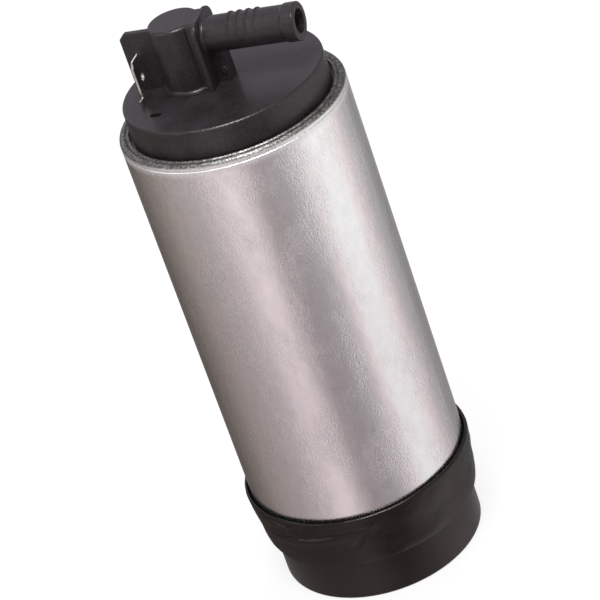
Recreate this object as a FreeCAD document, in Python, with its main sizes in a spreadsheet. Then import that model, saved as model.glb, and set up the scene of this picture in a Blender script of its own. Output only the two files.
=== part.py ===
import FreeCAD, Part
import math
import os
import Sketcher
from FreeCAD import Placement, Rotation, Vector

# Fuel pump for the inside of a tank: a regenerative turbine driven by a two-pole motor in a rolled
# aluminium can, with the outlet cap on top and the inlet cup and its rubber sleeve below.
# Frame: origin at the middle of the foot, +Z up along the can, +X the way the hose barb points.
doc = FreeCAD.newDocument("fuel_pump")
sheet = doc.addObject("Spreadsheet::Sheet", "sizes")
row = 0


def size(alias, value, note):
    """Adds one driving size to the sheet and returns the name that expressions know it by."""
    global row
    row += 1
    sheet.set(f"A{row}", alias)
    sheet.set(f"B{row}", str(value))
    sheet.set(f"C{row}", note)
    sheet.setAlias(f"B{row}", alias)
    return f"sizes.{alias}"


# Can
can_radius = size("can_radius", 21.5, "outside radius of the can")
can_wall = size("can_wall", 1.0, "wall of the can")
can_length = size("can_length", 85.9, "length of the can over its two rolled rims")
rim_turn = size("rim_turn", 2.0, "how far each rolled rim is turned in from the can's side")
rim_round = size("rim_round", 0.9, "rounding of the rolled shoulder")
rim_dish = size("rim_dish", 0.22, "depth of the dished band that the rolling tool leaves")
rim_lip = size("rim_lip", 0.3, "raised lip at the mouth of the upper rim")
rim_lip_round = size("rim_lip_round", 0.1, "rounding of that lip")
roll_line_drop = size("roll_line_drop", 1.3, "roll line below the top of the can")
roll_line_half = size("roll_line_half", 0.15, "half height of the roll line")
roll_line_depth = size("roll_line_depth", 0.1, "depth of the roll line")
slip = size("slip", 0.05, "radial clearance of the pieces that are pushed into the can")
cut_over = size("cut_over", 1.0, "how far a cut runs past the face that it opens")

# Outlet cap
cap_plug_height = size("cap_plug_height", 5.4, "plug of the cap below the rolled rim")
cap_gap = size("cap_gap", 0.55, "gap between the disc of the cap and the rolled rim")
cap_rise = size("cap_rise", 5.4, "top face of the cap above the rolled rim")
cap_round = size("cap_round", 0.4, "rounding of the cap's top edge")
cap_skin = size("cap_skin", 3.0, "thickness of the cap's top plate")
cap_skirt = size("cap_skirt", 1.2, "wall of the cap's plug inside the sealing ring's groove")
ring_groove_depth = size("ring_groove_depth", 1.85, "depth of the sealing ring's groove")
ring_groove_width = size("ring_groove_width", 2.1, "width of the sealing ring's groove")
ring_groove_height = size("ring_groove_height", 1.5, "groove above the underside of the plug")

# Valve tower, hose barb and what joins them
tower_x = size("tower_x", -5.5, "axis of the valve tower")
tower_radius = size("tower_radius", 4.85, "outside radius of the valve tower")
tower_height = size("tower_height", 12.8, "tower above the cap's top face")
tower_round = size("tower_round", 0.65, "rounding of the tower's top edge")
tower_foot = size("tower_foot", 0.6, "concave foot of the tower")
pad_reach = size("pad_reach", 0.95, "low pad round the tower, beyond its side")
pad_rise = size("pad_rise", 0.15, "height of that pad")
bridge_half_width = size("bridge_half_width", 3.4, "half width of the bridge from the tower to the collar")
tower_depth = size("tower_depth", 8.6, "valve tube below the cap's top face")
valve_radius = size("valve_radius", 3.1, "bore of the valve tower")
valve_roof = size("valve_roof", 1.8, "roof of the valve bore")
barb_height = size("barb_height", 8.9, "axis of the hose barb above the cap's top face")
barb_radius = size("barb_radius", 3.33, "tube of the hose barb")
barb_bore = size("barb_bore", 2.25, "bore of the hose barb")
barb_reach = size("barb_reach", 18.0, "end of the hose barb from the can's axis")
bead_radius = size("bead_radius", 3.55, "bead at the end of the barb")
bead_length = size("bead_length", 2.25, "straight length of the bead")
bead_run = size("bead_run", 0.45, "sloping back of the bead")
bead_round = size("bead_round", 0.25, "rounded edges of the bead")
barb_foot = size("barb_foot", 0.5, "concave foot of the barb on the collar")
ridge_count = size("ridge_count", 4, "fine gripping ridges on the barb")
ridge_first = size("ridge_first", 5.3, "first ridge from the can's axis")
ridge_pitch = size("ridge_pitch", 1.7, "distance between the ridges")
ridge_rise = size("ridge_rise", 0.28, "height of a ridge on top, fading out down its sides")
ridge_half = size("ridge_half", 0.4, "half width of a ridge")
collar_x = size("collar_x", -0.7, "back face of the arched collar")
collar_thickness = size("collar_thickness", 0.85, "thickness of the arched collar")
collar_half_width = size("collar_half_width", 5.1, "half width of the collar")
collar_height = size("collar_height", 13.05, "collar above the cap's top face")
collar_round = size("collar_round", 2.4, "round shoulders of the collar")
arris_round = size("arris_round", 0.2, "rounded arrises of the collar and the terminal wall")
gusset_x = size("gusset_x", 2.6, "front face of the gusset under the barb")
gusset_half_width = size("gusset_half_width", 1.5, "half width of the gusset")
gusset_round = size("gusset_round", 0.3, "rounded edges of the gusset")
pip_radius = size("pip_radius", 0.75, "round lug through the front of the gusset")
pip_proud = size("pip_proud", 0.25, "lug proud of the gusset's two sides")
pip_reach = size("pip_reach", 0.85, "axis of the lug behind the gusset's front face")
pip_height = size("pip_height", 2.2, "axis of the lug above the cap's top face")
wall_inset = size("wall_inset", 4.9, "outer edge of the wall between the terminals inside the can's side")
wall_half = size("wall_half", 0.6, "half thickness of the wall between the terminals")
wall_height = size("wall_height", 11.6, "height of the wall between the terminals")
wall_corner = size("wall_corner", 1.05, "cut corner of that wall")
wall_corner_round = size("wall_corner_round", 0.6, "rounding at each end of the cut corner")

# Terminals
blade_inset = size("blade_inset", 8.0, "middle of the blades' thickness inside the can's side")
blade_y = size("blade_y", 3.45, "middle of each blade, either side of the wall")
blade_width = size("blade_width", 4.8, "width of a blade")
blade_thickness = size("blade_thickness", 0.5, "thickness of a blade")
blade_height = size("blade_height", 8.1, "blade above the cap's top face")
blade_tip = size("blade_tip", 0.9, "cut corners of a blade's tip, across the blade")
blade_tip_run = size("blade_tip_run", 1.1, "cut corners of a blade's tip, along the blade")
blade_edge = size("blade_edge", 0.1, "cut edges of a blade")
lead_in = size("lead_in", 0.7, "bevelled lead-in at a blade's tip")
lead_in_depth = size("lead_in_depth", 0.14, "how far the lead-in thins each face")
blade_hole = size("blade_hole", 0.75, "radius of the latch hole")
blade_hole_height = size("blade_hole_height", 4.15, "latch hole above the cap's top face")
shoulder_height = size("shoulder_height", 1.1, "stop shoulder of a blade")
shoulder_reach = size("shoulder_reach", 1.45, "stop shoulder beyond the blade's outer edge")
shoulder_slope = size("shoulder_slope", 0.55, "how far the shoulder's outer edge leans in")
leg_width = size("leg_width", 2.0, "width of a blade's leg inside the cap")
leg_depth = size("leg_depth", 12.2, "leg below the cap's top face")
leg_block = size("leg_block", 2.6, "half width of the block that holds a leg")
leg_slot = size("leg_slot", 0.02, "clearance of a leg in its slot")

# Relief valve
relief_inset = size("relief_inset", 7.041, "relief valve's axis inside the can's side")
relief_angle = size("relief_angle", 48.925, "relief valve's axis, degrees round from the blades")
relief_radius = size("relief_radius", 2.2, "bore of the relief valve")
relief_wall = size("relief_wall", 1.1, "wall of the relief valve's boss")
relief_roof = size("relief_roof", 2.2, "plastic over the relief valve's bore")
relief_depth = size("relief_depth", 10.4, "boss below the cap's top face")
relief_ball_radius = size("relief_ball_radius", 1.5, "ball of the relief valve")
relief_plug_height = size("relief_plug_height", 2.2, "seat of the relief valve")
relief_hole = size("relief_hole", 1.0, "hole through the relief seat")
relief_land = size("relief_land", 0.5, "relief seat's cone above the ball's line")
relief_lift = size("relief_lift", 1.2, "lift of the relief ball")
vent_length = size("vent_length", 2.3, "vent slot in the cap's top face")
vent_width = size("vent_width", 1.4, "width of the vent slot")
vent_round = size("vent_round", 0.6, "rounded ends of the vent slot")

# Check valve
seat_height = size("seat_height", 3.4, "check valve's seat")
seat_hole = size("seat_hole", 1.8, "hole through the check valve's seat")
seat_land = size("seat_land", 0.5, "flat land round the check valve's seat")
seat_bevel = size("seat_bevel", 0.6, "bevel outside that land")
poppet_radius = size("poppet_radius", 2.75, "head of the check valve's poppet")
poppet_height = size("poppet_height", 2.2, "head of the check valve's poppet")
poppet_lift = size("poppet_lift", 1.8, "lift of the check valve's poppet")
poppet_stem_radius = size("poppet_stem_radius", 1.0, "stem inside the spring")
poppet_stem_height = size("poppet_stem_height", 3.0, "length of that stem")
poppet_pad = size("poppet_pad", 0.8, "thickness of the poppet's rubber washer")
rest_gap = size("rest_gap", 0.05, "gap between a moving piece and the face it rests on")
washer_inset = size("washer_inset", 0.2, "poppet's washer inside the edge of its head")

# Motor
flux_wall = size("flux_wall", 2.0, "wall of the steel flux ring")
magnet_thickness = size("magnet_thickness", 4.3, "thickness of a magnet")
magnet_angle = size("magnet_angle", 138, "angle that a magnet covers")
magnet_margin = size("magnet_margin", 1.6, "flux ring beyond each end of the magnets")
magnet_fit = size("magnet_fit", 0.05, "glue line behind the magnets")
clip_thickness = size("clip_thickness", 0.6, "spring strip of a magnet clip")
clip_play = size("clip_play", 0.05, "gap between a clip and a magnet")
clip_inner_inset = size("clip_inner_inset", 0.3, "clip outside the magnets' inner faces")
clip_outer_inset = size("clip_outer_inset", 0.2, "clip inside the magnets' outer faces")
air_gap = size("air_gap", 0.5, "gap between the magnets and the armature")
shaft_radius = size("shaft_radius", 1.6, "motor shaft")
shaft_room = size("shaft_room", 0.6, "open hole round the shaft in the brush holder")
casing_room = size("casing_room", 0.4, "open hole round the shaft in the pump casing")
bearing_play = size("bearing_play", 0.03, "radial clearance of the shaft in its bushes")
lower_end_room = size("lower_end_room", 8.0, "room for the winding below the core")
upper_end_room = size("upper_end_room", 7.6, "room for the winding above the core")
slot_count = size("slot_count", 8, "slots of the armature")
slot_mouth = size("slot_mouth", 2.2, "mouth of a slot")
slot_depth = size("slot_depth", 5.6, "depth of a slot")
tooth_width = size("tooth_width", 3.0, "neck of a tooth")
tooth_lip = size("tooth_lip", 1.2, "lip of a tooth")
insulator_thickness = size("insulator_thickness", 0.8, "end insulators of the core")
insulator_inset = size("insulator_inset", 0.3, "end insulators inside the core's outside")
liner = size("liner", 0.25, "lining between a slot and its copper")
winding_sink = size("winding_sink", 0.6, "winding below the core's outside")
winding_clearance = size("winding_clearance", 1.6, "end turns clear of their neighbours")
turns_hub = size("turns_hub", 1.4, "end turns outside the shaft")
turns_inset = size("turns_inset", 0.8, "end turns inside the copper in the slots")
turns_round_inner = size("turns_round_inner", 1.2, "rounding of the end turns at the shaft")
turns_round_outer = size("turns_round_outer", 2.4, "rounding of the end turns at the outside")
commutator_radius = size("commutator_radius", 9.4, "outside radius of the face commutator")
commutator_base = size("commutator_base", 3.4, "moulded base of the commutator")
commutator_bevel = size("commutator_bevel", 1.2, "bevel under the base of the commutator")
segment_height = size("segment_height", 2.2, "height of a commutator segment")
segment_slit = size("segment_slit", 0.6, "slit between commutator segments")
segment_bore = size("segment_bore", 3.2, "inner radius of the commutator segments")
segment_fit = size("segment_fit", 0.02, "gap between the segments and their base")

# Brushes and their holder
holder_height = size("holder_height", 9.4, "brush holder")
holder_wall = size("holder_wall", 1.2, "outer wall of the brush holder")
holder_floor = size("holder_floor", 1.6, "floor of the brush holder")
brush_gap = size("brush_gap", 1.0, "commutator face below the holder's floor")
brush_y = size("brush_y", 6.4, "middle of each brush from the shaft")
brush_depth = size("brush_depth", 3.6, "brush across the commutator")
brush_width = size("brush_width", 5.6, "brush along the commutator")
brush_length = size("brush_length", 7.0, "length of a new brush")
brush_play = size("brush_play", 0.08, "clearance of a brush in its guide")
brush_travel = size("brush_travel", 2.5, "a brush's way up into its guide")
guide_wall = size("guide_wall", 0.8, "wall of a brush guide")
guide_room = size("guide_room", 0.4, "brush guide short of a lifted brush")
spring_pocket = size("spring_pocket", 2.4, "spring's end above the underside of the cap's plug")
bush_radius = size("bush_radius", 3.2, "outside of a bearing bush")
bush_length = size("bush_length", 5.0, "length of a bearing bush")
bush_boss = size("bush_boss", 1.1, "wall of the boss round the upper bush")
fuel_hole_radius = size("fuel_hole_radius", 2.6, "fuel passages through the holder's floor")
fuel_hole_reach = size("fuel_hole_reach", 9.4, "fuel passages, sideways from the shaft")

# Springs
brush_spring_radius = size("brush_spring_radius", 1.35, "brush spring, middle of the wire")
brush_spring_wire = size("brush_spring_wire", 0.2, "brush spring, radius of the wire")
brush_spring_turns = size("brush_spring_turns", 5, "turns of a brush spring")
check_spring_radius = size("check_spring_radius", 1.7, "check valve spring, middle of the wire")
check_spring_wire = size("check_spring_wire", 0.25, "check valve spring, radius of the wire")
check_spring_turns = size("check_spring_turns", 4, "turns of the check valve spring")
relief_spring_radius = size("relief_spring_radius", 1.1, "relief spring, middle of the wire")
relief_spring_wire = size("relief_spring_wire", 0.2, "relief spring, radius of the wire")
relief_spring_turns = size("relief_spring_turns", 4, "turns of the relief spring")

# Suppression chokes
choke_radius = size("choke_radius", 1.3, "ferrite rod of a choke")
choke_length = size("choke_length", 7.0, "ferrite rod of a choke")
choke_winding = size("choke_winding", 0.7, "thickness of the winding on a choke")
choke_end = size("choke_end", 0.8, "bare end of a choke's rod above its winding")
choke_play = size("choke_play", 0.05, "clearance of a choke's rod in its seat")

# Pump stage
cover_height = size("cover_height", 4.8, "inlet cover of the pump stage")
casing_height = size("casing_height", 8.6, "casing of the pump stage")
casing_wall = size("casing_wall", 3.1, "wall of the casing round the impeller")
impeller_height = size("impeller_height", 3.0, "thickness of the impeller")
impeller_play = size("impeller_play", 0.1, "clearance above and below the impeller")
impeller_tip_play = size("impeller_tip_play", 0.3, "clearance round the impeller")
vane_count = size("vane_count", 30, "vanes of the impeller")
vane_thickness = size("vane_thickness", 0.9, "thickness of a vane")
vane_length = size("vane_length", 3.1, "length of a vane from its inner end to the hoop")
vane_hoop = size("vane_hoop", 0.9, "hoop round the vanes")
vane_web = size("vane_web", 0.5, "web between the upper and lower vanes")
flat_depth = size("flat_depth", 0.4, "drive flat on the shaft")
drive_play = size("drive_play", 0.05, "clearance of the shaft in the impeller")
channel_depth = size("channel_depth", 1.7, "depth of the side channels")
channel_angle = size("channel_angle", 310, "angle that the side channels cover")
port_radius = size("port_radius", 1.9, "inlet and outlet ports of the pump stage")
thrust_radius = size("thrust_radius", 2.4, "thrust button under the shaft")
thrust_height = size("thrust_height", 1.2, "thickness of the thrust button")
thrust_depth = size("thrust_depth", 2.2, "recess of the thrust button")

# Inlet cup, screen and sleeve
cup_height = size("cup_height", 13.6, "cup from its foot to the can")
cup_step = size("cup_step", 1.55, "side of the cup inside the side of the can")
cup_wall = size("cup_wall", 1.6, "wall of the cup")
cup_round = size("cup_round", 0.5, "rounding of the foot")
spigot_play = size("spigot_play", 0.1, "clearance of the cup's spigot in the can's mouth")
floor_height = size("floor_height", 2.4, "floor of the cup above the foot")
floor_thickness = size("floor_thickness", 1.8, "floor of the cup")
neck_radius = size("neck_radius", 7.4, "outside radius of the inlet neck")
neck_bore = size("neck_bore", 5.5, "bore of the inlet neck")
neck_drop = size("neck_drop", 1.6, "neck below the floor")
neck_rise = size("neck_rise", 2.0, "neck above the floor")
rib_count = size("rib_count", 6, "ribs under the floor")
rib_half = size("rib_half", 0.6, "half thickness of a rib")
rib_drop = size("rib_drop", 1.2, "ribs below the floor")
screen_thickness = size("screen_thickness", 0.5, "inlet screen")
mesh_pitch = size("mesh_pitch", 1.9, "distance between the screen's holes")
mesh_hole = size("mesh_hole", 1.3, "side of a screen hole")
sleeve_drop = size("sleeve_drop", 4.7, "rubber sleeve below the can's lower rim")
sleeve_grip = size("sleeve_grip", 6.7, "rubber sleeve above the can's lower rim")
sleeve_lip_wall = size("sleeve_lip_wall", 1.0, "flared lip of the sleeve")
sleeve_lip = size("sleeve_lip", 2.4, "height of the flared lip")
sleeve_wall = size("sleeve_wall", 0.55, "sleeve's wall over the can")
sleeve_edge_wall = size("sleeve_edge_wall", 1.2, "sleeve's wall at its lower edge")
doc.recompute()


def value(expression):
    """Works out an expression of the sheet's sizes."""
    return float(sheet.evalExpression(expression))


# Heights of the pieces along the can, from the foot up
stack_bottom = f"({cup_height} + {can_wall})"
can_top = f"({cup_height} + {can_length})"
stack_top = f"({can_top} - {can_wall})"
cap_top = f"({can_top} + {cap_rise})"
plug_bottom = f"({stack_top} - {cap_plug_height})"
holder_bottom = f"({plug_bottom} - {holder_height})"
casing_bottom = f"({stack_bottom} + {cover_height})"
impeller_bottom = f"({casing_bottom} + {impeller_play})"
chamber_height = f"({impeller_height} + 2 * {impeller_play})"
casing_top = f"({casing_bottom} + {casing_height})"
flux_height = f"({holder_bottom} - {casing_top})"
face_height = f"({holder_bottom} - {brush_gap})"
segment_bottom = f"({face_height} - {segment_height})"
base_bottom = f"({segment_bottom} - {commutator_base})"
core_bottom = f"({casing_top} + {lower_end_room})"
core_height = f"({base_bottom} - {upper_end_room} - {core_bottom})"
brush_bottom = f"({face_height} + {rest_gap})"
brush_top = f"({brush_bottom} + {brush_length})"
brush_roof = f"({plug_bottom} + {spring_pocket})"
bush_seat = f"({holder_bottom} + {holder_floor})"
shaft_bottom = f"({stack_bottom} + {thrust_depth} + {thrust_height} + {rest_gap})"
shaft_top = f"({bush_seat} + {bush_length} + {cut_over})"

# Places and radii that follow from the can
wall_end_x = f"(0 - ({can_radius} - {wall_inset}))"
blade_x = f"(0 - ({can_radius} - {blade_inset}))"
relief_x = f"(0 - ({can_radius} - {relief_inset}) * cos({relief_angle}))"
relief_y = f"(0 - ({can_radius} - {relief_inset}) * sin({relief_angle}))"
rim_mouth_radius = f"({can_radius} - {rim_turn})"
cap_disc_radius = f"({rim_mouth_radius} - {cap_gap})"
cup_radius = f"({can_radius} - {cup_step})"
bore_radius = f"({can_radius} - {can_wall})"
inner_radius = f"({bore_radius} - {slip})"
flux_inner = f"({inner_radius} - {flux_wall})"
magnet_outer = f"({flux_inner} - {magnet_fit})"
magnet_inner = f"({magnet_outer} - {magnet_thickness})"
core_radius = f"({magnet_inner} - {air_gap})"
cap_core_radius = f"({inner_radius} - {ring_groove_depth} - {cap_skirt})"
impeller_radius = f"({inner_radius} - {casing_wall} - {impeller_tip_play})"
vane_outer = f"({impeller_radius} - {vane_hoop})"
vane_inner = f"({vane_outer} - {vane_length})"

# Valve levels
valve_bottom = f"({cap_top} - {tower_depth})"
valve_top = f"({cap_top} + {tower_height} - {valve_roof})"
seat_top = f"({valve_bottom} + {seat_height})"
poppet_bottom = f"({seat_top} + {rest_gap})"
relief_bottom = f"({cap_top} - {relief_depth})"
relief_top = f"({cap_top} - {relief_roof})"
relief_seat_top = f"({relief_bottom} + {relief_plug_height})"
barb_axis = f"({cap_top} + {barb_height})"


def bind(thing, **properties):
    """Binds each named property of a document object to an expression."""
    for name, expression in properties.items():
        thing.setExpression(name.replace("__", "."), expression)


def new_body(label, z="0", x="0", y="0"):
    """Starts a piece in its own frame, with its place in the pump bound to the sheet."""
    body = doc.addObject("PartDesign::Body", label)
    body.Label = label
    bind(body, Placement__Base__x=x, Placement__Base__y=y, Placement__Base__z=z)
    return body


def new_sketch(body, name, plane, shift=("0", "0", "0")):
    """A sketch on one of the body's own origin planes, shifted in the plane and along its normal."""
    sketch = body.newObject("Sketcher::SketchObject", name)
    support = [item for item in body.Origin.OriginFeatures if item.Role == plane][0]
    sketch.AttachmentSupport = (support, [""])
    sketch.MapMode = "FlatFace"
    bind(
        sketch,
        AttachmentOffset__Base__x=shift[0],
        AttachmentOffset__Base__y=shift[1],
        AttachmentOffset__Base__z=shift[2],
    )
    return sketch


def apart(kind, geometry, point, expression):
    """A bound distance of one point of a sketch from its origin, across or up."""
    return Sketcher.Constraint(kind, -1, 1, geometry, point, value(expression)), expression


def hold(geometry, point, across, up):
    """Both bound distances of one point of a sketch from its origin."""
    return [apart("DistanceX", geometry, point, across), apart("DistanceY", geometry, point, up)]


def constrain(sketch, rules):
    """Adds all the rules to a sketch and binds those that come with an expression."""
    places = sketch.addConstraint([rule for rule, expression in rules])
    for place, (rule, expression) in zip(places, rules):
        if expression:
            sketch.setExpression(f"Constraints[{place}]", expression)


def rounding(point, before, after, radius):
    """Middle, two ends and sense of the arc that rounds a corner between its two neighbours."""
    back = (before - point).normalize()
    ahead = (after - point).normalize()
    half = back.getAngle(ahead) / 2
    reach = radius / math.tan(half)
    middle = point + (back + ahead).normalize() * (radius / math.sin(half))
    return middle, point + back * reach, point + ahead * reach, back.cross(ahead).z < 0


def arc_between(middle, first, second, radius):
    """The shorter arc about its middle, run anticlockwise from the first point to the second."""
    begin = math.atan2(first.y - middle.y, first.x - middle.x)
    finish = math.atan2(second.y - middle.y, second.x - middle.x)
    if finish < begin:
        finish += 2 * math.pi
    return Part.ArcOfCircle(Part.Circle(middle, Vector(0, 0, 1), radius), begin, finish)


def outline(sketch, *loops):
    """Closes sides through bound corners, each given as (across, up) or (across, up, rounding)."""
    rules = []
    for corners in loops:
        points = [Vector(value(corner[0]), value(corner[1]), 0) for corner in corners]
        count = len(corners)
        starts = list(points)
        ends = list(points)
        arcs = {}
        for index, corner in enumerate(corners):
            if len(corner) < 3:
                continue
            ahead = points[(index + 1) % count]
            arcs[index] = rounding(points[index], points[index - 1], ahead, value(corner[2]))
            ends[index] = arcs[index][1]
            starts[index] = arcs[index][2]
        first = sketch.GeometryCount
        for index in range(count):
            side = Part.LineSegment(starts[index], ends[(index + 1) % count])
            sketch.addGeometry(side, False)
        for index, corner in enumerate(corners):
            before = first + (index - 1) % count
            after = first + index
            if index not in arcs:
                rules.append((Sketcher.Constraint("Coincident", before, 2, after, 1), None))
                rules += hold(after, 1, corner[0], corner[1])
                continue
            middle, enter, leave, leftward = arcs[index]
            if not leftward:
                enter, leave = leave, enter
            arc = sketch.addGeometry(arc_between(middle, enter, leave, value(corner[2])), False)
            mark = sketch.addGeometry(Part.Point(points[index]), True)
            enter_end, leave_end = (1, 2) if leftward else (2, 1)
            radius = Sketcher.Constraint("Radius", arc, value(corner[2]))
            rules.append((Sketcher.Constraint("Tangent", before, 2, arc, enter_end), None))
            rules.append((Sketcher.Constraint("Tangent", arc, leave_end, after, 1), None))
            rules.append((radius, corner[2]))
            rules.append((Sketcher.Constraint("PointOnObject", mark, 1, before), None))
            rules.append((Sketcher.Constraint("PointOnObject", mark, 1, after), None))
            rules += hold(mark, 1, corner[0], corner[1])
    constrain(sketch, rules)


def ring(sketch, across, up, radius):
    """Adds a bound circle to a sketch."""
    circle = Part.Circle(Vector(value(across), value(up), 0), Vector(0, 0, 1), value(radius))
    geometry = sketch.addGeometry(circle, False)
    size_rule = (Sketcher.Constraint("Radius", geometry, value(radius)), radius)
    constrain(sketch, [size_rule] + hold(geometry, 3, across, up))


def flatted_ring(sketch, radius, flat):
    """Adds a bound circle about the origin with one flat on its +X side."""
    angle = math.acos(value(flat) / value(radius))
    circle = Part.Circle(Vector(0, 0, 0), Vector(0, 0, 1), value(radius))
    arc = sketch.addGeometry(Part.ArcOfCircle(circle, angle, 2 * math.pi - angle), False)
    side = math.sin(angle) * value(radius)
    chord = Part.LineSegment(Vector(value(flat), -side, 0), Vector(value(flat), side, 0))
    line = sketch.addGeometry(chord, False)
    constrain(sketch, [
        (Sketcher.Constraint("Coincident", arc, 3, -1, 1), None),
        (Sketcher.Constraint("Coincident", arc, 2, line, 1), None),
        (Sketcher.Constraint("Coincident", line, 2, arc, 1), None),
        (Sketcher.Constraint("Vertical", line), None),
        (Sketcher.Constraint("Radius", arc, value(radius)), radius),
        apart("DistanceX", line, 1, flat),
    ])


def box_corners(left, right, low, high):
    """The four corners of an upright box."""
    return [(left, low), (right, low), (right, high), (left, high)]


def turn(body, name, corners, cut=False, angle="360", axis="V_Axis", shift=("0", "0", "0")):
    """Revolves a profile, drawn as (radius, height), about the sketch's own axis."""
    sketch = new_sketch(body, f"{name}_profile", "XZ_Plane", shift)
    outline(sketch, corners)
    feature = body.newObject("PartDesign::Groove" if cut else "PartDesign::Revolution", name)
    feature.Profile = sketch
    feature.ReferenceAxis = (sketch, [axis])
    bind(feature, Angle=angle)
    feature.Midplane = value(angle) < 360
    return feature


def push(body, name, sketch, length, cut=False, both=False, reverse=False):
    """Pads or pockets a sketch along its normal."""
    feature = body.newObject("PartDesign::Pocket" if cut else "PartDesign::Pad", name)
    feature.Profile = sketch
    feature.SideType = "Symmetric" if both else "One side"
    feature.Reversed = reverse
    bind(feature, Length=length)
    return feature


def plate(body, name, corners, length, plane="XY_Plane", shift=("0", "0", "0"), **how):
    """Pads or pockets a straight-sided outline."""
    sketch = new_sketch(body, f"{name}_outline", plane, shift)
    outline(sketch, corners)
    return push(body, name, sketch, length, **how)


def disc(body, name, across, up, radius, length, plane="XY_Plane", level="0", **how):
    """Pads or pockets a circle."""
    sketch = new_sketch(body, f"{name}_circle", plane, ("0", "0", level))
    ring(sketch, across, up, radius)
    return push(body, name, sketch, length, **how)


def soften(body, name, radius, edges, kind="Fillet"):
    """Rounds or cuts the edges that pass a test on their middle and their two ends."""
    doc.recompute()
    before = body.Tip
    picked = []
    for number, edge in enumerate(before.Shape.Edges, 1):
        first, last = edge.ParameterRange
        if edges(*[edge.valueAt(first + share * (last - first)) for share in (0.5, 0.0, 1.0)]):
            picked.append(f"Edge{number}")
    if not picked:
        raise RuntimeError(f"{name} found no edges")
    feature = body.newObject(f"PartDesign::{kind}", name)
    feature.Base = (before, picked)
    if kind == "Fillet":
        bind(feature, Radius=radius)
    else:
        bind(feature, Size=radius)
    return feature


def level_with(number, expression):
    """Whether a coordinate lies on a place that the sheet gives."""
    return abs(number - value(expression)) < 0.01


def repeat(body, name, features, count):
    """Repeats features round the body's Z axis."""
    pattern = body.newObject("PartDesign::PolarPattern", name)
    pattern.Originals = features
    axis = [item for item in body.Origin.OriginFeatures if item.Role == "Z_Axis"][0]
    pattern.Axis = (axis, [""])
    pattern.Angle = 360
    bind(pattern, Occurrences=count)
    body.Tip = pattern
    return pattern


def coil_shape(radius, wire, height, turns):
    """A round wire wound up to a height, its centre line made of arcs of a quarter turn."""
    steps = 4 * int(round(turns))
    rise = (height - 2 * wire) / steps
    points = []
    for step in range(2 * steps + 1):
        angle = step * math.pi / 4
        level = wire + rise * step / 2
        points.append(Vector(radius * math.cos(angle), radius * math.sin(angle), level))
    edges = []
    for step in range(steps):
        edges.append(Part.Arc(*points[2 * step:2 * step + 3]).toShape())
    path = Part.Wire(edges)
    tangent = Vector(0, radius * math.pi / 2, rise)
    circle = Part.Wire(Part.Circle(points[0], tangent, wire).toShape())
    shape = Part.BRepOffsetAPI.MakePipeShell(path)
    shape.add(circle)
    shape.build()
    shape.makeSolid()
    return shape.shape()


def coil(label, radius, wire, low, high, turns, x="0", y="0"):
    """A wound wire as a feature of its own; its sizes are read from the sheet."""
    low_value = value(low)
    feature = doc.addObject("Part::Feature", label)
    feature.Label = label
    feature.Shape = coil_shape(value(radius), value(wire), value(high) - low_value, value(turns))
    feature.Placement = Placement(Vector(value(x), value(y), low_value), Rotation())
    pitch = (value(high) - low_value - 2 * value(wire)) / value(turns)
    print(f"{label}: gap between turns {pitch - 2 * value(wire):.2f} mm")
    return feature


# Can: a straight tube whose two ends are rolled in over the pieces it holds
body = new_body("can", z=cup_height)
turn(body, "tube", [
    (rim_mouth_radius, "0"),
    (can_radius, "0", rim_round),
    (can_radius, f"{can_length} - {roll_line_drop} - {roll_line_half}"),
    (f"{can_radius} - {roll_line_depth}", f"{can_length} - {roll_line_drop}"),
    (can_radius, f"{can_length} - {roll_line_drop} + {roll_line_half}"),
    (can_radius, can_length, rim_round),
    (f"{can_radius} - {rim_round} - 0.5 * {rim_lip}", can_length),
    (f"{rim_mouth_radius} + 2 * {rim_lip}", f"{can_length} - {rim_dish}"),
    (f"{rim_mouth_radius} + {rim_lip}", can_length, rim_lip_round),
    (rim_mouth_radius, can_length, rim_lip_round),
    (rim_mouth_radius, f"{can_length} - {can_wall}"),
    (bore_radius, f"{can_length} - {can_wall}"),
    (bore_radius, can_wall),
    (rim_mouth_radius, can_wall),
])

# Outlet cap, in a frame whose height 0 is the underside of its plug
cap_height = f"({cap_plug_height} + {can_wall} + {cap_rise})"
cap_under = f"({cap_height} - {cap_skin})"
groove_top = f"({ring_groove_height} + {ring_groove_width})"
groove_floor = f"({inner_radius} - {ring_groove_depth})"
barb_level = f"({cap_height} + {barb_height})"
wall_top = f"({cap_height} + {wall_height})"
tower_low = f"({cap_height} - {tower_depth})"
tower_top = f"({cap_height} + {tower_height})"
body = new_body("outlet_cap", z=plug_bottom)
turn(body, "moulding", [
    ("0", cap_under),
    (cap_core_radius, cap_under),
    (cap_core_radius, "0"),
    (inner_radius, "0"),
    (inner_radius, ring_groove_height),
    (groove_floor, ring_groove_height),
    (groove_floor, groove_top),
    (inner_radius, groove_top),
    (inner_radius, cap_plug_height),
    (cap_disc_radius, cap_plug_height),
    (cap_disc_radius, cap_height, cap_round),
    ("0", cap_height),
])
turn(body, "tower", [
    ("0", tower_low),
    (tower_radius, tower_low),
    (tower_radius, f"{cap_height} - 0.5 * {cap_skin}"),
    (f"{tower_radius} + {pad_reach}", f"{cap_height} - 0.5 * {cap_skin}"),
    (f"{tower_radius} + {pad_reach}", f"{cap_height} + {pad_rise}"),
    (tower_radius, f"{cap_height} + {pad_rise}", tower_foot),
    (tower_radius, tower_top),
    ("0", tower_top),
], shift=(tower_x, "0", "0"))
plate(body, "bridge", box_corners(tower_x, f"{collar_x} + 0.5 * {collar_thickness}", cap_under, tower_top),
      f"2 * {bridge_half_width}", plane="XZ_Plane", both=True)
bead_back = f"({barb_reach} - {bead_length})"
collar_front = f"({collar_x} + {collar_thickness})"
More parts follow.
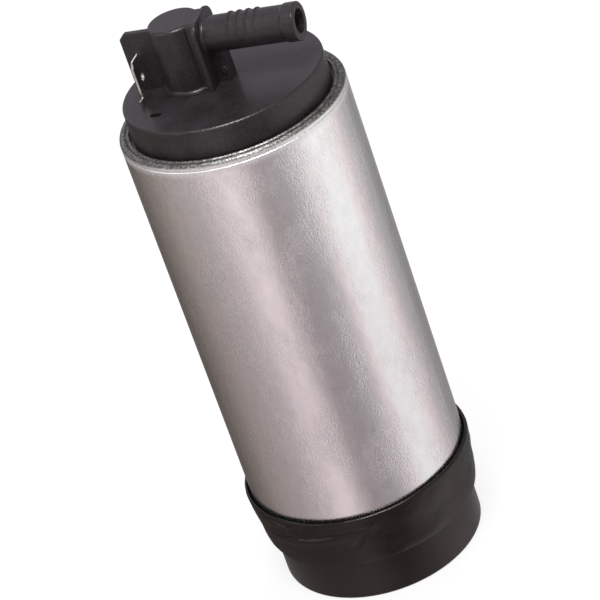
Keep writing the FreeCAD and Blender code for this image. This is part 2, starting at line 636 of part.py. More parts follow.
turn(body, "barb", [
    (collar_x, "0"),
    (barb_reach, "0"),
    (barb_reach, bead_radius, bead_round),
    (bead_back, bead_radius, bead_round),
    (f"{bead_back} - {bead_run}", barb_radius),
    (collar_front, barb_radius, barb_foot),
    (collar_front, f"{barb_radius} + 1.2 * {barb_foot}"),
    (collar_x, f"{barb_radius} + 1.2 * {barb_foot}"),
], axis="H_Axis", shift=("0", barb_level, "0"))
for number in range(int(round(value(ridge_count)))):
    middle = f"({ridge_first} + {number} * {ridge_pitch})"
    turn(body, f"ridge_{number + 1}", [
        (f"{middle} - {ridge_half}", f"{barb_radius} - 1.1 * {ridge_rise}"),
        (f"{middle} + {ridge_half}", f"{barb_radius} - 1.1 * {ridge_rise}"),
        (f"{middle} + 0.3 * {ridge_half}", barb_radius),
        (f"{middle} - 0.3 * {ridge_half}", barb_radius),
    ], axis="H_Axis", shift=("0", f"{barb_level} + {ridge_rise}", "0"))
plate(body, "collar", [
    (f"-{collar_half_width}", cap_under),
    (collar_half_width, cap_under),
    (collar_half_width, f"{cap_height} + {collar_height}", collar_round),
    (f"-{collar_half_width}", f"{cap_height} + {collar_height}", collar_round),
], collar_thickness, plane="YZ_Plane", shift=("0", "0", collar_x))
plate(body, "gusset", box_corners(collar_x, gusset_x, cap_under, barb_level),
      f"2 * {gusset_half_width}", plane="XZ_Plane", both=True)
plate(body, "terminal_wall", [
    (wall_end_x, cap_under),
    (tower_x, cap_under),
    (tower_x, wall_top),
    (f"{wall_end_x} + {wall_corner}", wall_top, wall_corner_round),
    (wall_end_x, f"{wall_top} - {wall_corner}", wall_corner_round),
], f"2 * {wall_half}", plane="XZ_Plane", both=True)
soften(body, "tower_edge", tower_round, lambda middle, first, last: all(
    level_with(point.z, tower_top) for point in (middle, first, last)
) and middle.x < value(collar_x) - 0.05)
soften(body, "collar_arrises", arris_round, lambda middle, first, last: all(
    (level_with(point.x, collar_x) or level_with(point.x, collar_front))
    and (abs(point.y) > value(bridge_half_width) + 0.05 or point.z > value(tower_top) + 0.05)
    for point in (middle, first, last)
) and middle.z > value(cap_height) + 1)
soften(body, "wall_arrises", arris_round, lambda middle, first, last: all(
    level_with(abs(point.y), wall_half) and point.x < value(f"{tower_x} - 0.8 * {tower_radius}")
    for point in (middle, first, last)
) and middle.z > value(cap_height) + 1)
soften(body, "gusset_edges", gusset_round, lambda middle, first, last: all(
    level_with(point.x, gusset_x) and level_with(abs(point.y), gusset_half_width)
    for point in (middle, first, last)
) and middle.z > value(cap_height) + 0.5)
disc(body, "pip", f"{gusset_x} - {pip_reach}", f"{cap_height} + {pip_height}", pip_radius,
     f"2 * ({gusset_half_width} + {pip_proud})", plane="XZ_Plane", both=True)
soften(body, "pip_edges", f"0.8 * {pip_proud}", lambda middle, first, last: all(
    level_with(abs(point.y), f"{gusset_half_width} + {pip_proud}") for point in (middle, first, last)
))
disc(body, "relief_boss", relief_x, relief_y, f"{relief_radius} + {relief_wall}",
     f"{relief_depth} - 0.5 * {cap_skin}", level=f"{cap_height} - {relief_depth}")
for side, sign in (("near", "-"), ("far", "")):
    plate(body, f"leg_block_{side}", box_corners(
        f"{blade_x} - 0.7 * {leg_block}", f"{blade_x} + 0.7 * {leg_block}",
        f"{sign}{blade_y} - {leg_block}", f"{sign}{blade_y} + {leg_block}",
    ), f"{cap_plug_height} + {can_wall}", shift=("0", "0", "0.5 * " + cap_plug_height))
    disc(body, f"spring_pad_{side}", "0", f"{sign}{brush_y}", f"{brush_spring_radius} + {cut_over}",
         f"{cap_under} - {spring_pocket} + 0.5 * {cap_skin}", level=spring_pocket)
turn(body, "valve_bore", [
    ("0", f"{tower_low} - {cut_over}"),
    (valve_radius, f"{tower_low} - {cut_over}"),
    (valve_radius, f"{cap_height} + {tower_height} - {valve_roof}"),
    ("0", f"{cap_height} + {tower_height} - {valve_roof}"),
], cut=True, shift=(tower_x, "0", "0"))
turn(body, "barb_passage", [
    (tower_x, "0"),
    (f"{barb_reach} + {cut_over}", "0"),
    (f"{barb_reach} + {cut_over}", barb_bore),
    (tower_x, barb_bore),
], cut=True, axis="H_Axis", shift=("0", barb_level, "0"))
disc(body, "relief_bore", relief_x, relief_y, relief_radius,
     f"{relief_depth} - {relief_roof} + {cut_over}", level=f"{cap_height} - {relief_depth} - {cut_over}",
     cut=True, reverse=True)
plate(body, "vent", [corner + (vent_round,) for corner in box_corners(
    f"{relief_x} - 0.5 * {vent_length}", f"{relief_x} + 0.5 * {vent_length}",
    f"{relief_y} - 0.5 * {vent_width}", f"{relief_y} + 0.5 * {vent_width}",
)], f"{relief_roof} + {cut_over}", cut=True, reverse=True,
    shift=("0", "0", f"{cap_height} - {relief_roof} - 0.5 * {cut_over}"))
for side, sign in (("near", "-"), ("far", "")):
    plate(body, f"leg_slot_{side}", box_corners(
        f"{blade_x} - 0.5 * {blade_thickness} - {leg_slot}",
        f"{blade_x} + 0.5 * {blade_thickness} + {leg_slot}",
        f"{sign}{blade_y} - 0.5 * {leg_width} - {leg_slot}",
        f"{sign}{blade_y} + 0.5 * {leg_width} + {leg_slot}",
    ), f"{cap_height} + {cut_over}", cut=True, reverse=True)

# Sealing ring in the cap's groove
seal_radius = f"(0.5 * ({ring_groove_depth} - {slip}))"
seal = doc.addObject("Part::Torus", "cap_seal_ring")
seal.Label = "cap_seal_ring"
bind(
    seal,
    Radius1=f"{inner_radius} - {seal_radius}",
    Radius2=seal_radius,
    Placement__Base__z=f"{plug_bottom} + {ring_groove_height} + 0.5 * {ring_groove_width}",
)

# Blade terminals: a flat blade with a cut tip and a latch hole, a stop shoulder and a leg
for label, sign, outward in (("terminal_positive", "-", "-"), ("terminal_negative", "", "+")):
    body = new_body(label, x=blade_x, y=f"{sign}{blade_y}", z=cap_top)
    half = f"(0.5 * {blade_width})"
    tip = f"({half} - {blade_tip})"
    left = f"(-{half} - {shoulder_reach})"
    right = f"({half} + {shoulder_reach})"
    left_foot = f"({left} + {shoulder_slope})" if outward == "-" else f"-{half}"
    right_foot = f"({right} - {shoulder_slope})" if outward == "+" else half
    corners = [(f"-0.5 * {leg_width}", f"-{leg_depth}"), (f"0.5 * {leg_width}", f"-{leg_depth}")]
    corners += [(f"0.5 * {leg_width}", "0"), (right_foot, "0")]
    corners += [(right, shoulder_height), (half, shoulder_height)] if outward == "+" else []
    corners += [(half, f"{blade_height} - {blade_tip_run}"), (tip, blade_height)]
    corners += [(f"-{tip}", blade_height), (f"-{half}", f"{blade_height} - {blade_tip_run}")]
    corners += [(f"-{half}", shoulder_height), (left, shoulder_height)] if outward == "-" else []
    corners += [(left_foot, "0"), (f"-0.5 * {leg_width}", "0")]
    plate(body, "blade", corners, blade_thickness, plane="YZ_Plane", both=True)
    soften(body, "cut_edges", blade_edge, lambda middle, first, last: all(
        level_with(abs(point.x), f"0.5 * {blade_thickness}") and point.z > value(shoulder_height) - 0.01
        for point in (middle, first, last)
    ) and middle.z < value(blade_height) - 0.01, kind="Chamfer")
    for face, way in (("front", ""), ("back", "-")):
        plate(body, f"lead_in_{face}", [
            (f"{way}(0.5 * {blade_thickness} - {lead_in_depth})", blade_height),
            (f"{way}(0.5 * {blade_thickness} - {lead_in_depth})", f"{blade_height} + {lead_in_depth}"),
            (f"{way}(0.5 * {blade_thickness} + {lead_in_depth})", f"{blade_height} + {lead_in_depth}"),
            (f"{way}(0.5 * {blade_thickness} + {lead_in_depth})", f"{blade_height} - {lead_in}"),
            (f"{way}(0.5 * {blade_thickness})", f"{blade_height} - {lead_in}"),
        ], f"2 * {blade_width}", plane="XZ_Plane", cut=True, both=True)
    disc(body, "latch_hole", "0", blade_hole_height, blade_hole, f"2 * {blade_thickness}",
         plane="YZ_Plane", cut=True, both=True)

# Check valve: seat pressed into the tower, poppet with its rubber washer, and spring
body = new_body("check_valve_seat", x=tower_x, z=valve_bottom)
turn(body, "seat", [
    (seat_hole, "0"),
    (valve_radius, "0"),
    (valve_radius, f"{seat_height} - {seat_bevel}"),
    (f"{seat_hole} + {seat_land}", seat_height),
    (seat_hole, seat_height),
])
body = new_body("check_valve_poppet", x=tower_x, z=poppet_bottom)
turn(body, "poppet", [
    ("0", f"-0.8 * {seat_hole}"),
    (f"0.5 * {seat_hole}", f"-0.8 * {seat_hole}"),
    (f"{seat_hole} - {washer_inset}", "0"),
    (f"{seat_hole} - {washer_inset}", poppet_pad),
    (poppet_radius, poppet_pad),
    (poppet_radius, poppet_height),
    (poppet_stem_radius, poppet_height),
    (poppet_stem_radius, f"{poppet_height} + {poppet_stem_height}"),
    ("0", f"{poppet_height} + {poppet_stem_height}"),
])
body = new_body("check_valve_washer", x=tower_x, z=poppet_bottom)
turn(body, "washer", box_corners(f"{seat_hole} - {washer_inset}", f"{poppet_radius} - {washer_inset}", "0", poppet_pad))
coil("check_valve_spring", check_spring_radius, check_spring_wire,
     f"{poppet_bottom} + {poppet_height}", valve_top, check_spring_turns, x=tower_x)

# Relief valve: seat with a cone, ball and spring
cone_sink = f"({relief_ball_radius} * 0.7071)"
body = new_body("relief_valve_seat", x=relief_x, y=relief_y, z=relief_bottom)
turn(body, "seat", [
    (relief_hole, "0"),
    (relief_radius, "0"),
    (relief_radius, relief_plug_height),
    (f"{cone_sink} + {relief_land}", relief_plug_height),
    (relief_hole, f"{relief_plug_height} - {cone_sink} - {relief_land} + {relief_hole}"),
])
ball = doc.addObject("Part::Sphere", "relief_valve_ball")
ball.Label = "relief_valve_ball"
ball_height = f"({relief_seat_top} + {cone_sink} - {relief_land} + {rest_gap} * 1.5)"
bind(ball, Radius=relief_ball_radius, Placement__Base__x=relief_x, Placement__Base__y=relief_y,
     Placement__Base__z=ball_height)
coil("relief_valve_spring", relief_spring_radius, relief_spring_wire,
     f"{ball_height} + 0.8 * {relief_ball_radius}", relief_top, relief_spring_turns,
     x=relief_x, y=relief_y)

# Brush holder: an open ring with a floor, two upright guides and the boss of the upper bush
guide_half_x = f"(0.5 * {brush_width} + {brush_play})"
guide_half_y = f"(0.5 * {brush_depth} + {brush_play})"
boss_radius = f"({bush_radius} + {bush_boss})"
guide_height = f"({brush_length} + {brush_travel} - {brush_gap} - {guide_room})"
body = new_body("brush_holder", z=holder_bottom)
turn(body, "holder_ring", [
    ("0", "0"),
    (inner_radius, "0"),
    (inner_radius, holder_height),
    (f"{inner_radius} - {holder_wall}", holder_height),
    (f"{inner_radius} - {holder_wall}", holder_floor),
    ("0", holder_floor),
])
disc(body, "bush_boss", "0", "0", boss_radius, f"{holder_floor} + {bush_length}")
for side, sign in (("near", "-"), ("far", "")):
    plate(body, f"guide_{side}", box_corners(
        f"-{guide_half_x} - {guide_wall}", f"{guide_half_x} + {guide_wall}",
        f"{sign}{brush_y} - {guide_half_y} - {guide_wall}",
        f"{sign}{brush_y} + {guide_half_y} + {guide_wall}",
    ), guide_height)
for side, sign in (("near", "-"), ("far", "")):
    plate(body, f"guide_bore_{side}", box_corners(
        f"-{guide_half_x}", guide_half_x,
        f"{sign}{brush_y} - {guide_half_y}", f"{sign}{brush_y} + {guide_half_y}",
    ), f"{guide_height} + {cut_over}", cut=True, reverse=True)
    disc(body, f"choke_seat_{side}", blade_x, f"{sign}{blade_y}", f"{choke_radius} + {choke_play}",
         f"0.5 * {holder_floor} + {cut_over}", level=f"0.5 * {holder_floor}", cut=True, reverse=True)
disc(body, "bush_bore", "0", "0", bush_radius, f"{bush_length} + {cut_over}", level=holder_floor,
     cut=True, reverse=True)
disc(body, "shaft_hole", "0", "0", f"{shaft_radius} + {shaft_room}", f"{holder_floor} + {cut_over}",
     cut=True, reverse=True)
fuel_hole = disc(body, "fuel_hole", fuel_hole_reach, fuel_hole_reach, fuel_hole_radius,
                 f"{holder_floor} + {cut_over}", cut=True, reverse=True)
repeat(body, "fuel_holes", [fuel_hole], "4")

# Brushes and their springs
for side, sign in (("positive", "-"), ("negative", "")):
    body = new_body(f"brush_{side}", y=f"{sign}{brush_y}", z=brush_bottom)
    plate(body, "carbon", box_corners(
        f"-0.5 * {brush_width}", f"0.5 * {brush_width}",
        f"-0.5 * {brush_depth}", f"0.5 * {brush_depth}",
    ), brush_length)
    coil(f"brush_spring_{side}", brush_spring_radius, brush_spring_wire, brush_top, brush_roof,
         brush_spring_turns, y=f"{sign}{brush_y}")

# Suppression chokes, each a ferrite rod in a single layer of wire
choke_bottom = f"({holder_bottom} + 0.5 * {holder_floor})"
for side, sign in (("positive", "-"), ("negative", "")):
    rod = doc.addObject("Part::Cylinder", f"choke_core_{side}")
    rod.Label = f"choke_core_{side}"
    bind(rod, Radius=choke_radius, Height=choke_length, Placement__Base__x=blade_x,
         Placement__Base__y=f"{sign}{blade_y}", Placement__Base__z=choke_bottom)
    body = new_body(f"choke_winding_{side}", x=blade_x, y=f"{sign}{blade_y}",
                    z=f"{holder_bottom} + {holder_floor}")
    turn(body, "layer", box_corners(
        choke_radius, f"{choke_radius} + {choke_winding}",
        "0", f"{choke_length} - 0.5 * {holder_floor} - {choke_end}",
    ))

# Bearing bushes
for label, level in (("upper_bush", bush_seat), ("lower_bush", f"{casing_top} - {bush_length}")):
    body = new_body(label, z=level)
    turn(body, "bush", box_corners(f"{shaft_radius} + {bearing_play}", bush_radius, "0", bush_length))

# Flux ring, the two magnets inside it and the clips that spread them
body = new_body("flux_ring", z=casing_top)
turn(body, "tube", box_corners(flux_inner, inner_radius, "0", flux_height))
magnet_height = f"({flux_height} - 2 * {magnet_margin})"
magnet_bottom = f"({casing_top} + {magnet_margin})"
for label, heading in (("magnet_left", 180), ("magnet_right", 0)):
    body = new_body(label, z=magnet_bottom)
    body.Placement.Rotation = Rotation(Vector(0, 0, 1), heading)
    turn(body, "arc", box_corners(magnet_inner, magnet_outer, "0", magnet_height), angle=magnet_angle)
clip_angle = f"(90 - 0.5 * {magnet_angle})"
clip_slope = f"tan({clip_angle})"
clip_in = f"(({magnet_inner} + {clip_inner_inset}) * cos({clip_angle}))"
clip_out = f"(({magnet_outer} - {clip_outer_inset}) * cos({clip_angle}))"
clip_back = f"({clip_out} - {clip_thickness})"
clip_skew = f"({clip_thickness} / cos({clip_angle}))"
for label, heading in (("magnet_clip_front", -90), ("magnet_clip_back", 90)):
    body = new_body(label, z=magnet_bottom)
    body.Placement.Rotation = Rotation(Vector(0, 0, 1), heading)
    plate(body, "strip", [
        (clip_in, f"-{clip_in} * {clip_slope} + {clip_play}"),
        (clip_out, f"-{clip_out} * {clip_slope} + {clip_play}"),
        (clip_out, f"{clip_out} * {clip_slope} - {clip_play}"),
        (clip_in, f"{clip_in} * {clip_slope} - {clip_play}"),
        (clip_in, f"{clip_in} * {clip_slope} - {clip_play} - {clip_skew}"),
        (clip_back, f"{clip_back} * {clip_slope} - {clip_play} - {clip_skew}"),
        (clip_back, f"-{clip_back} * {clip_slope} + {clip_play} + {clip_skew}"),
        (clip_in, f"-{clip_in} * {clip_slope} + {clip_play} + {clip_skew}"),
    ], magnet_height)

# Armature: shaft, slotted core, end insulators, winding and face commutator
body = new_body("motor_shaft", z=shaft_bottom)
disc(body, "rod", "0", "0", shaft_radius, f"{shaft_top} - {shaft_bottom}")
flat_height = f"({casing_bottom} + {impeller_play} + {impeller_height} - {shaft_bottom})"
plate(body, "drive_flat", box_corners(
    f"{shaft_radius} - {flat_depth}", f"{shaft_radius} + {cut_over}", f"-{shaft_radius}", shaft_radius,
), flat_height, cut=True, reverse=True)

neck = f"({core_radius} - {tooth_lip})"
slot_floor = f"({core_radius} - {slot_depth})"
slot_side = f"({slot_floor} * tan(180 / {slot_count}) - 0.5 * {tooth_width} / cos(180 / {slot_count}))"
slot_wide = f"({neck} * tan(180 / {slot_count}) - 0.5 * {tooth_width} / cos(180 / {slot_count}))"


def core_slots(body, height):
    """Cuts the slots between the teeth."""
    slot = plate(body, "slot", [
        (slot_floor, f"-{slot_side}"),
        (neck, f"-{slot_wide}"),
        (neck, f"-0.5 * {slot_mouth}"),
        (f"{core_radius} + {cut_over}", f"-0.5 * {slot_mouth}"),
        (f"{core_radius} + {cut_over}", f"0.5 * {slot_mouth}"),
        (neck, f"0.5 * {slot_mouth}"),
        (neck, slot_wide),
        (slot_floor, slot_side),
    ], height, cut=True, reverse=True)
    repeat(body, "slots", [slot], slot_count)


body = new_body("armature_core", z=core_bottom)
turn(body, "stack", box_corners(shaft_radius, core_radius, "0", core_height))
core_slots(body, core_height)
for label, level in (
    ("insulator_lower", f"{core_bottom} - {insulator_thickness}"),
    ("insulator_upper", f"{core_bottom} + {core_height}"),
):
    body = new_body(label, z=level)
    turn(body, "stack", box_corners(shaft_radius, f"{core_radius} - {insulator_inset}", "0", insulator_thickness))
    core_slots(body, insulator_thickness)

body = new_body("armature_winding", z=core_bottom)
turns_inner = f"({shaft_radius} + {turns_hub})"
turns_outer = f"({core_radius} - {winding_sink} - {turns_inset})"
lower_end = f"(-{lower_end_room} + {winding_clearance})"
upper_end = f"({core_height} + {upper_end_room} - {winding_clearance})"
turn(body, "lower_end_turns", [
    (turns_inner, f"-{insulator_thickness}"),
    (turns_inner, lower_end, turns_round_inner),
    (turns_outer, lower_end, turns_round_outer),
    (turns_outer, f"-{insulator_thickness}"),
])
turn(body, "upper_end_turns", [
    (turns_inner, f"{core_height} + {insulator_thickness}"),
    (turns_outer, f"{core_height} + {insulator_thickness}"),
    (turns_outer, upper_end, turns_round_outer),
    (turns_inner, upper_end, turns_round_inner),
])

slot_copper = plate(body, "slot_copper", [
    (f"{slot_floor} + {liner}", f"-{slot_side} + {liner}"),
    (f"{neck} - {liner}", f"-{slot_wide} + 1.5 * {liner}"),
    (f"{neck} - {liner}", f"{slot_wide} - 1.5 * {liner}"),
    (f"{slot_floor} + {liner}", f"{slot_side} - {liner}"),
], f"{core_height} + 2 * {insulator_thickness} + {cut_over}",
    shift=("0", "0", f"-{insulator_thickness} - 0.5 * {cut_over}"))
repeat(body, "slot_coppers", [slot_copper], slot_count)

body = new_body("commutator_base", z=base_bottom)
turn(body, "base", [
    (shaft_radius, "0"),
    (f"{commutator_radius} - {commutator_bevel}", "0"),
    (commutator_radius, commutator_bevel),
    (commutator_radius, commutator_base),
    (segment_bore, commutator_base),
    (segment_bore, f"{commutator_base} + 0.6 * {segment_height}"),
    (shaft_radius, f"{commutator_base} + 0.6 * {segment_height}"),
])
segment_angle = f"(360 / {slot_count} - 2 * asin(0.5 * {segment_slit} / {segment_bore}) / 1 deg)"
body = new_body("commutator_segments", z=segment_bottom)
segment = turn(body, "segment", box_corners(f"{segment_bore} + {segment_fit}", commutator_radius, "0", segment_height),
               angle=segment_angle)
repeat(body, "segments", [segment], slot_count)

# Impeller: a disc with pockets between its vanes on both faces, inside a closed hoop
vane_pitch = f"(360 / {vane_count})"
vane_middle = f"(0.5 * ({vane_inner} + {vane_outer}))"
pocket_depth = f"(0.5 * ({impeller_height} - {vane_web}))"
pocket_angle = f"({vane_pitch} - 2 * asin(0.5 * {vane_thickness} / {vane_middle}) / 1 deg)"
body = new_body("impeller", z=impeller_bottom)
disc(body, "wheel", "0", "0", impeller_radius, impeller_height)
lower = turn(body, "lower_pocket", [
    (vane_inner, f"-0.5 * {cut_over}"),
    (vane_outer, f"-0.5 * {cut_over}"),
    (vane_outer, pocket_depth, f"0.8 * {pocket_depth}"),
    (vane_inner, pocket_depth, f"0.8 * {pocket_depth}"),
], cut=True, angle=pocket_angle)
upper = turn(body, "upper_pocket", [
    (vane_inner, f"{impeller_height} + 0.5 * {cut_over}"),
    (vane_inner, f"{impeller_height} - {pocket_depth}", f"0.8 * {pocket_depth}"),
    (vane_outer, f"{impeller_height} - {pocket_depth}", f"0.8 * {pocket_depth}"),
    (vane_outer, f"{impeller_height} + 0.5 * {cut_over}"),
], cut=True, angle=pocket_angle)
repeat(body, "pockets", [lower, upper], vane_count)
hub_bore = new_sketch(body, "hub_bore_outline", "XY_Plane")
flatted_ring(hub_bore, f"({shaft_radius} + {drive_play})", f"({shaft_radius} - {flat_depth} + {drive_play})")
push(body, "hub_bore", hub_bore, f"{impeller_height} + {cut_over}", cut=True, reverse=True)

# Pump stage: inlet cover below the impeller, casing above it, each with a side channel
channel_inner = vane_inner
channel_outer = vane_outer


def side_channel(body, face, depth_sign):
    """Cuts the ring-shaped channel, open over the working angle and closed at the stripper."""
    floor = f"({face} {depth_sign} {channel_depth})"
    rim = f"({face} {'+' if depth_sign == '-' else '-'} 0.5 * {cut_over})"
    corners = [
        (channel_inner, rim),
        (channel_outer, rim),
        (channel_outer, floor, f"0.8 * {channel_depth}"),
        (channel_inner, floor, f"0.8 * {channel_depth}"),
    ]
    if depth_sign == "+":
        corners.reverse()
    turn(body, "side_channel", corners, cut=True, angle=channel_angle)


port_angle = f"(0.5 * {channel_angle} - 8)"
body = new_body("pump_cover", z=stack_bottom)
turn(body, "disc", box_corners("0", inner_radius, "0", cover_height))
side_channel(body, cover_height, "-")
disc(body, "inlet_port", f"{vane_middle} * cos({port_angle})", f"{vane_middle} * sin({port_angle})",
     port_radius, f"{cover_height} - 0.5 * {channel_depth}", cut=True, reverse=True)
disc(body, "thrust_recess", "0", "0", thrust_radius, f"{cover_height} - {thrust_depth} + {cut_over}",
     level=thrust_depth, cut=True, reverse=True)
button = doc.addObject("Part::Cylinder", "thrust_button")
button.Label = "thrust_button"
bind(button, Radius=thrust_radius, Height=thrust_height,
     Placement__Base__z=f"{stack_bottom} + {thrust_depth}")

body = new_body("pump_casing", z=casing_bottom)
turn(body, "casing", [
    ("0", chamber_height),
    (f"{impeller_radius} + {impeller_tip_play}", chamber_height),
    (f"{impeller_radius} + {impeller_tip_play}", "0"),
    (inner_radius, "0"),
    (inner_radius, casing_height),
    ("0", casing_height),
])
side_channel(body, chamber_height, "+")
disc(body, "outlet_port", f"{vane_middle} * cos({port_angle})", f"-{vane_middle} * sin({port_angle})",
     port_radius, f"{casing_height} - {chamber_height} + {cut_over}",
     level=f"{chamber_height} + 0.5 * {channel_depth}", cut=True, reverse=True)
disc(body, "bush_bore", "0", "0", bush_radius, f"{bush_length} + {cut_over}",
     level=f"{casing_height} - {bush_length}", cut=True, reverse=True)
disc(body, "shaft_hole", "0", "0", f"{shaft_radius} + {casing_room}", f"{casing_height} + {cut_over}",
     cut=True, reverse=True)

# Inlet cup: skirt, floor with the inlet neck, ribs, and a spigot in the can's mouth
spigot_radius = f"({rim_mouth_radius} - {spigot_play})"
floor_top = f"({floor_height} + {floor_thickness})"
body = new_body("inlet_cup")
turn(body, "skirt", [
    (f"{cup_radius} - {cup_wall}", "0"),
    (cup_radius, "0", cup_round),
    (cup_radius, cup_height),
    (spigot_radius, cup_height),
    (spigot_radius, f"{cup_height} + {can_wall}"),
    (f"{cup_radius} - {cup_wall}", f"{cup_height} + {can_wall}"),
    (f"{cup_radius} - {cup_wall}", floor_top),
    (neck_radius, floor_top),
    (neck_radius, f"{floor_top} + {neck_rise}"),
    (neck_bore, f"{floor_top} + {neck_rise}"),
    (neck_bore, f"{floor_height} - {neck_drop}"),
    (neck_radius, f"{floor_height} - {neck_drop}"),
    (neck_radius, floor_height),
    (f"{cup_radius} - {cup_wall}", floor_height),
])
rib = plate(body, "rib", box_corners(
    f"{neck_radius} - 0.5", f"{cup_radius} - 0.5 * {cup_wall}", f"-{rib_half}", rib_half,
), rib_drop, shift=("0", "0", f"{floor_height} - {rib_drop}"))
repeat(body, "ribs", [rib], rib_count)

# Inlet screen: a thin square-holed disc on the neck
body = new_body("inlet_screen", z=f"{floor_top} + {neck_rise}")
disc(body, "sheet", "0", "0", f"{neck_radius} - 0.1", screen_thickness)
holes = []
steps = int(value(neck_bore) / value(mesh_pitch))
for column in range(-steps, steps + 1):
    for line in range(-steps, steps + 1):
        reach = math.hypot(abs(column) * value(mesh_pitch) + 0.5 * value(mesh_hole),
                           abs(line) * value(mesh_pitch) + 0.5 * value(mesh_hole))
        if reach > value(neck_bore):
            continue
        left = f"({column} * {mesh_pitch} - 0.5 * {mesh_hole})"
        low = f"({line} * {mesh_pitch} - 0.5 * {mesh_hole})"
        holes.append(box_corners(left, f"({left} + {mesh_hole})", low, f"({low} + {mesh_hole})"))
mesh = new_sketch(body, "mesh", "XY_Plane")
outline(mesh, *holes)
push(body, "mesh_holes", mesh, f"3 * {screen_thickness}", cut=True, both=True)

# Rubber sleeve: stretched over the end of the can, with a flared lip above and a turned-in edge below
sleeve_top = f"({cup_height} + {sleeve_grip})"
sleeve_bottom = f"({cup_height} - {sleeve_drop})"
body = new_body("rubber_sleeve")
turn(body, "sleeve", [
    (cup_radius, sleeve_bottom),
    (f"{cup_radius} + {sleeve_edge_wall}", sleeve_bottom, f"0.4 * {sleeve_lip_wall}"),
    (f"{can_radius} + 0.45 * {sleeve_wall}", f"{cup_height} - {can_wall}", f"8 * {sleeve_lip_wall}"),
    (f"{can_radius} + {sleeve_wall}", f"{sleeve_top} - 2 * {sleeve_lip}", f"6 * {sleeve_lip_wall}"),
    (f"{can_radius} + {sleeve_lip_wall}", f"{sleeve_top} - {sleeve_lip}", f"3 * {sleeve_lip_wall}"),
    (f"{can_radius} + {sleeve_lip_wall}", sleeve_top, f"0.5 * {sleeve_lip_wall}"),
    (can_radius, sleeve_top),
    (can_radius, cup_height, rim_round),
    (cup_radius, cup_height),
])

doc.recompute()
for item in doc.Objects:
    if "Invalid" in item.State or "Error" in item.State:
        raise RuntimeError(f"{item.Label} failed: {item.State}")

os.makedirs("parts", exist_ok=True)
kinds = ("PartDesign::Body", "Part::Feature", "Part::Cylinder", "Part::Sphere", "Part::Torus")
for item in doc.Objects:
    if item.TypeId not in kinds:
        continue
    shape = item.Shape
    if shape.isNull() or not shape.isValid() or shape.Volume <= 0:
        raise RuntimeError(f"{item.Label} has no valid solid")
    shape.exportStep(f"parts/{item.Label}.step")
    print(f"{item.Label}: {len(shape.Solids)} solid(s), {shape.Volume:.1f} mm3")
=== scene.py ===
"""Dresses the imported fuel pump: finishes for its pieces, the rubber sleeve, the springs and the studio."""

import math

import bmesh
import bpy
from mathutils import Matrix, Vector, noise


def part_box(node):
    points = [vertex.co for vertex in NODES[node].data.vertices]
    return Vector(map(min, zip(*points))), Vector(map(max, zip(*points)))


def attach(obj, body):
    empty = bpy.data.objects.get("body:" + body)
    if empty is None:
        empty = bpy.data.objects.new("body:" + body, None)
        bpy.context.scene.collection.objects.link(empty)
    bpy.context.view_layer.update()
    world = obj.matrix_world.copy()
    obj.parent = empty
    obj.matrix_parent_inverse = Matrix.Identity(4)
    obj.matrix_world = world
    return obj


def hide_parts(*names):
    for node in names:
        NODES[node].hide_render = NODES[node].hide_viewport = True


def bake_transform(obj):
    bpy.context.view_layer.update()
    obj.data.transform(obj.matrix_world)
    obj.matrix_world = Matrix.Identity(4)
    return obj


bl_info = {
    "name": "Fuel Pump Dressing",
    "version": (1, 0, 0),
    "blender": (4, 5, 0),
    "location": "View3D > Sidebar > Pump",
    "description": "Finishes, soft pieces and studio for an in-tank fuel pump",
    "category": "Object",
}

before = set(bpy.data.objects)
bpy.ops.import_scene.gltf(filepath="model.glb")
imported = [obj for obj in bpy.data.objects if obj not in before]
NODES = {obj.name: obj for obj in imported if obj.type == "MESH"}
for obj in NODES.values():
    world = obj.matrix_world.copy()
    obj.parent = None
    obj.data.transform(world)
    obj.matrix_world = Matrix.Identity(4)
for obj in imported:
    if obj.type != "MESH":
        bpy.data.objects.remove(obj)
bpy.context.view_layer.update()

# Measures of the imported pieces, in metres
CAN_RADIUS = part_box("can")[1].x
CAN_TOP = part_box("can")[1].z
CUP_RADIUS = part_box("inlet_cup")[1].x
SLEEVE_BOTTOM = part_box("rubber_sleeve")[0].z
SLEEVE_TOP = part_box("rubber_sleeve")[1].z
LIP_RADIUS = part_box("rubber_sleeve")[1].x
BLADE_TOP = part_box("terminal_positive")[1].z
MM = 0.001
SAME_POINT = 0.001 * MM

# Each spring with the valve or brush that its foot presses on
SPRINGS = {
    "check_valve_spring": "check_valve",
    "relief_valve_spring": "relief_valve",
    "brush_spring_positive": "positive_brush",
    "brush_spring_negative": "negative_brush",
}

# Tint of the gloss on the rubber and the cup
WARM_GLOSS = (1.0, 0.86, 0.80, 1.0)
# Between these heights the can's own colour passes into a paler one
CAN_PALER = (50.0 * MM, 100.0 * MM)
CAN_TOP_COLOUR = (0.93, 0.935, 0.935)
# Bands below the can's top, each from its start to where it is full: the smooth band that carries no
# relief, the dull shoulder, and the rim with scuff marks, whose colour is darkened as painted shade
SMOOTH_BAND = (3.5 * MM, 1.5 * MM)
SHOULDER_BAND = (2.8 * MM, 1.8 * MM)
RIM_BAND = (0.8 * MM, 0.45 * MM)
SHOULDER_DULLNESS = 0.24
# Dark and light scuff speckles of the rim, both much darker than the can: painted shade for the dark
# reflection on the rim's flat top
SCUFF_AND_SHADE_DARK = (0.115, 0.112, 0.106)
SCUFF_AND_SHADE_BRIGHT = (0.40, 0.392, 0.375)
# The relief of the can fades in over this height above the sleeve
SLEEVE_CLEARANCE = 2.0 * MM
# Moulded plastic times these gives its darker and its lighter spots, and the dust on it
WARM_SPOTS = (0.55, 0.47, 0.42)
COOL_SPOTS = (1.42, 1.46, 1.68)
DUST_PALENESS = 3.2
# The sheared edge on top of a blade is made less metallic than its faces, so its pale colour is a painted
# highlight
SHEARED_EDGE_HIGHLIGHT = (0.12 * MM, 0.06 * MM)
SHEARED_HIGHLIGHT_LOSS = 0.85


# Settings that a user would change

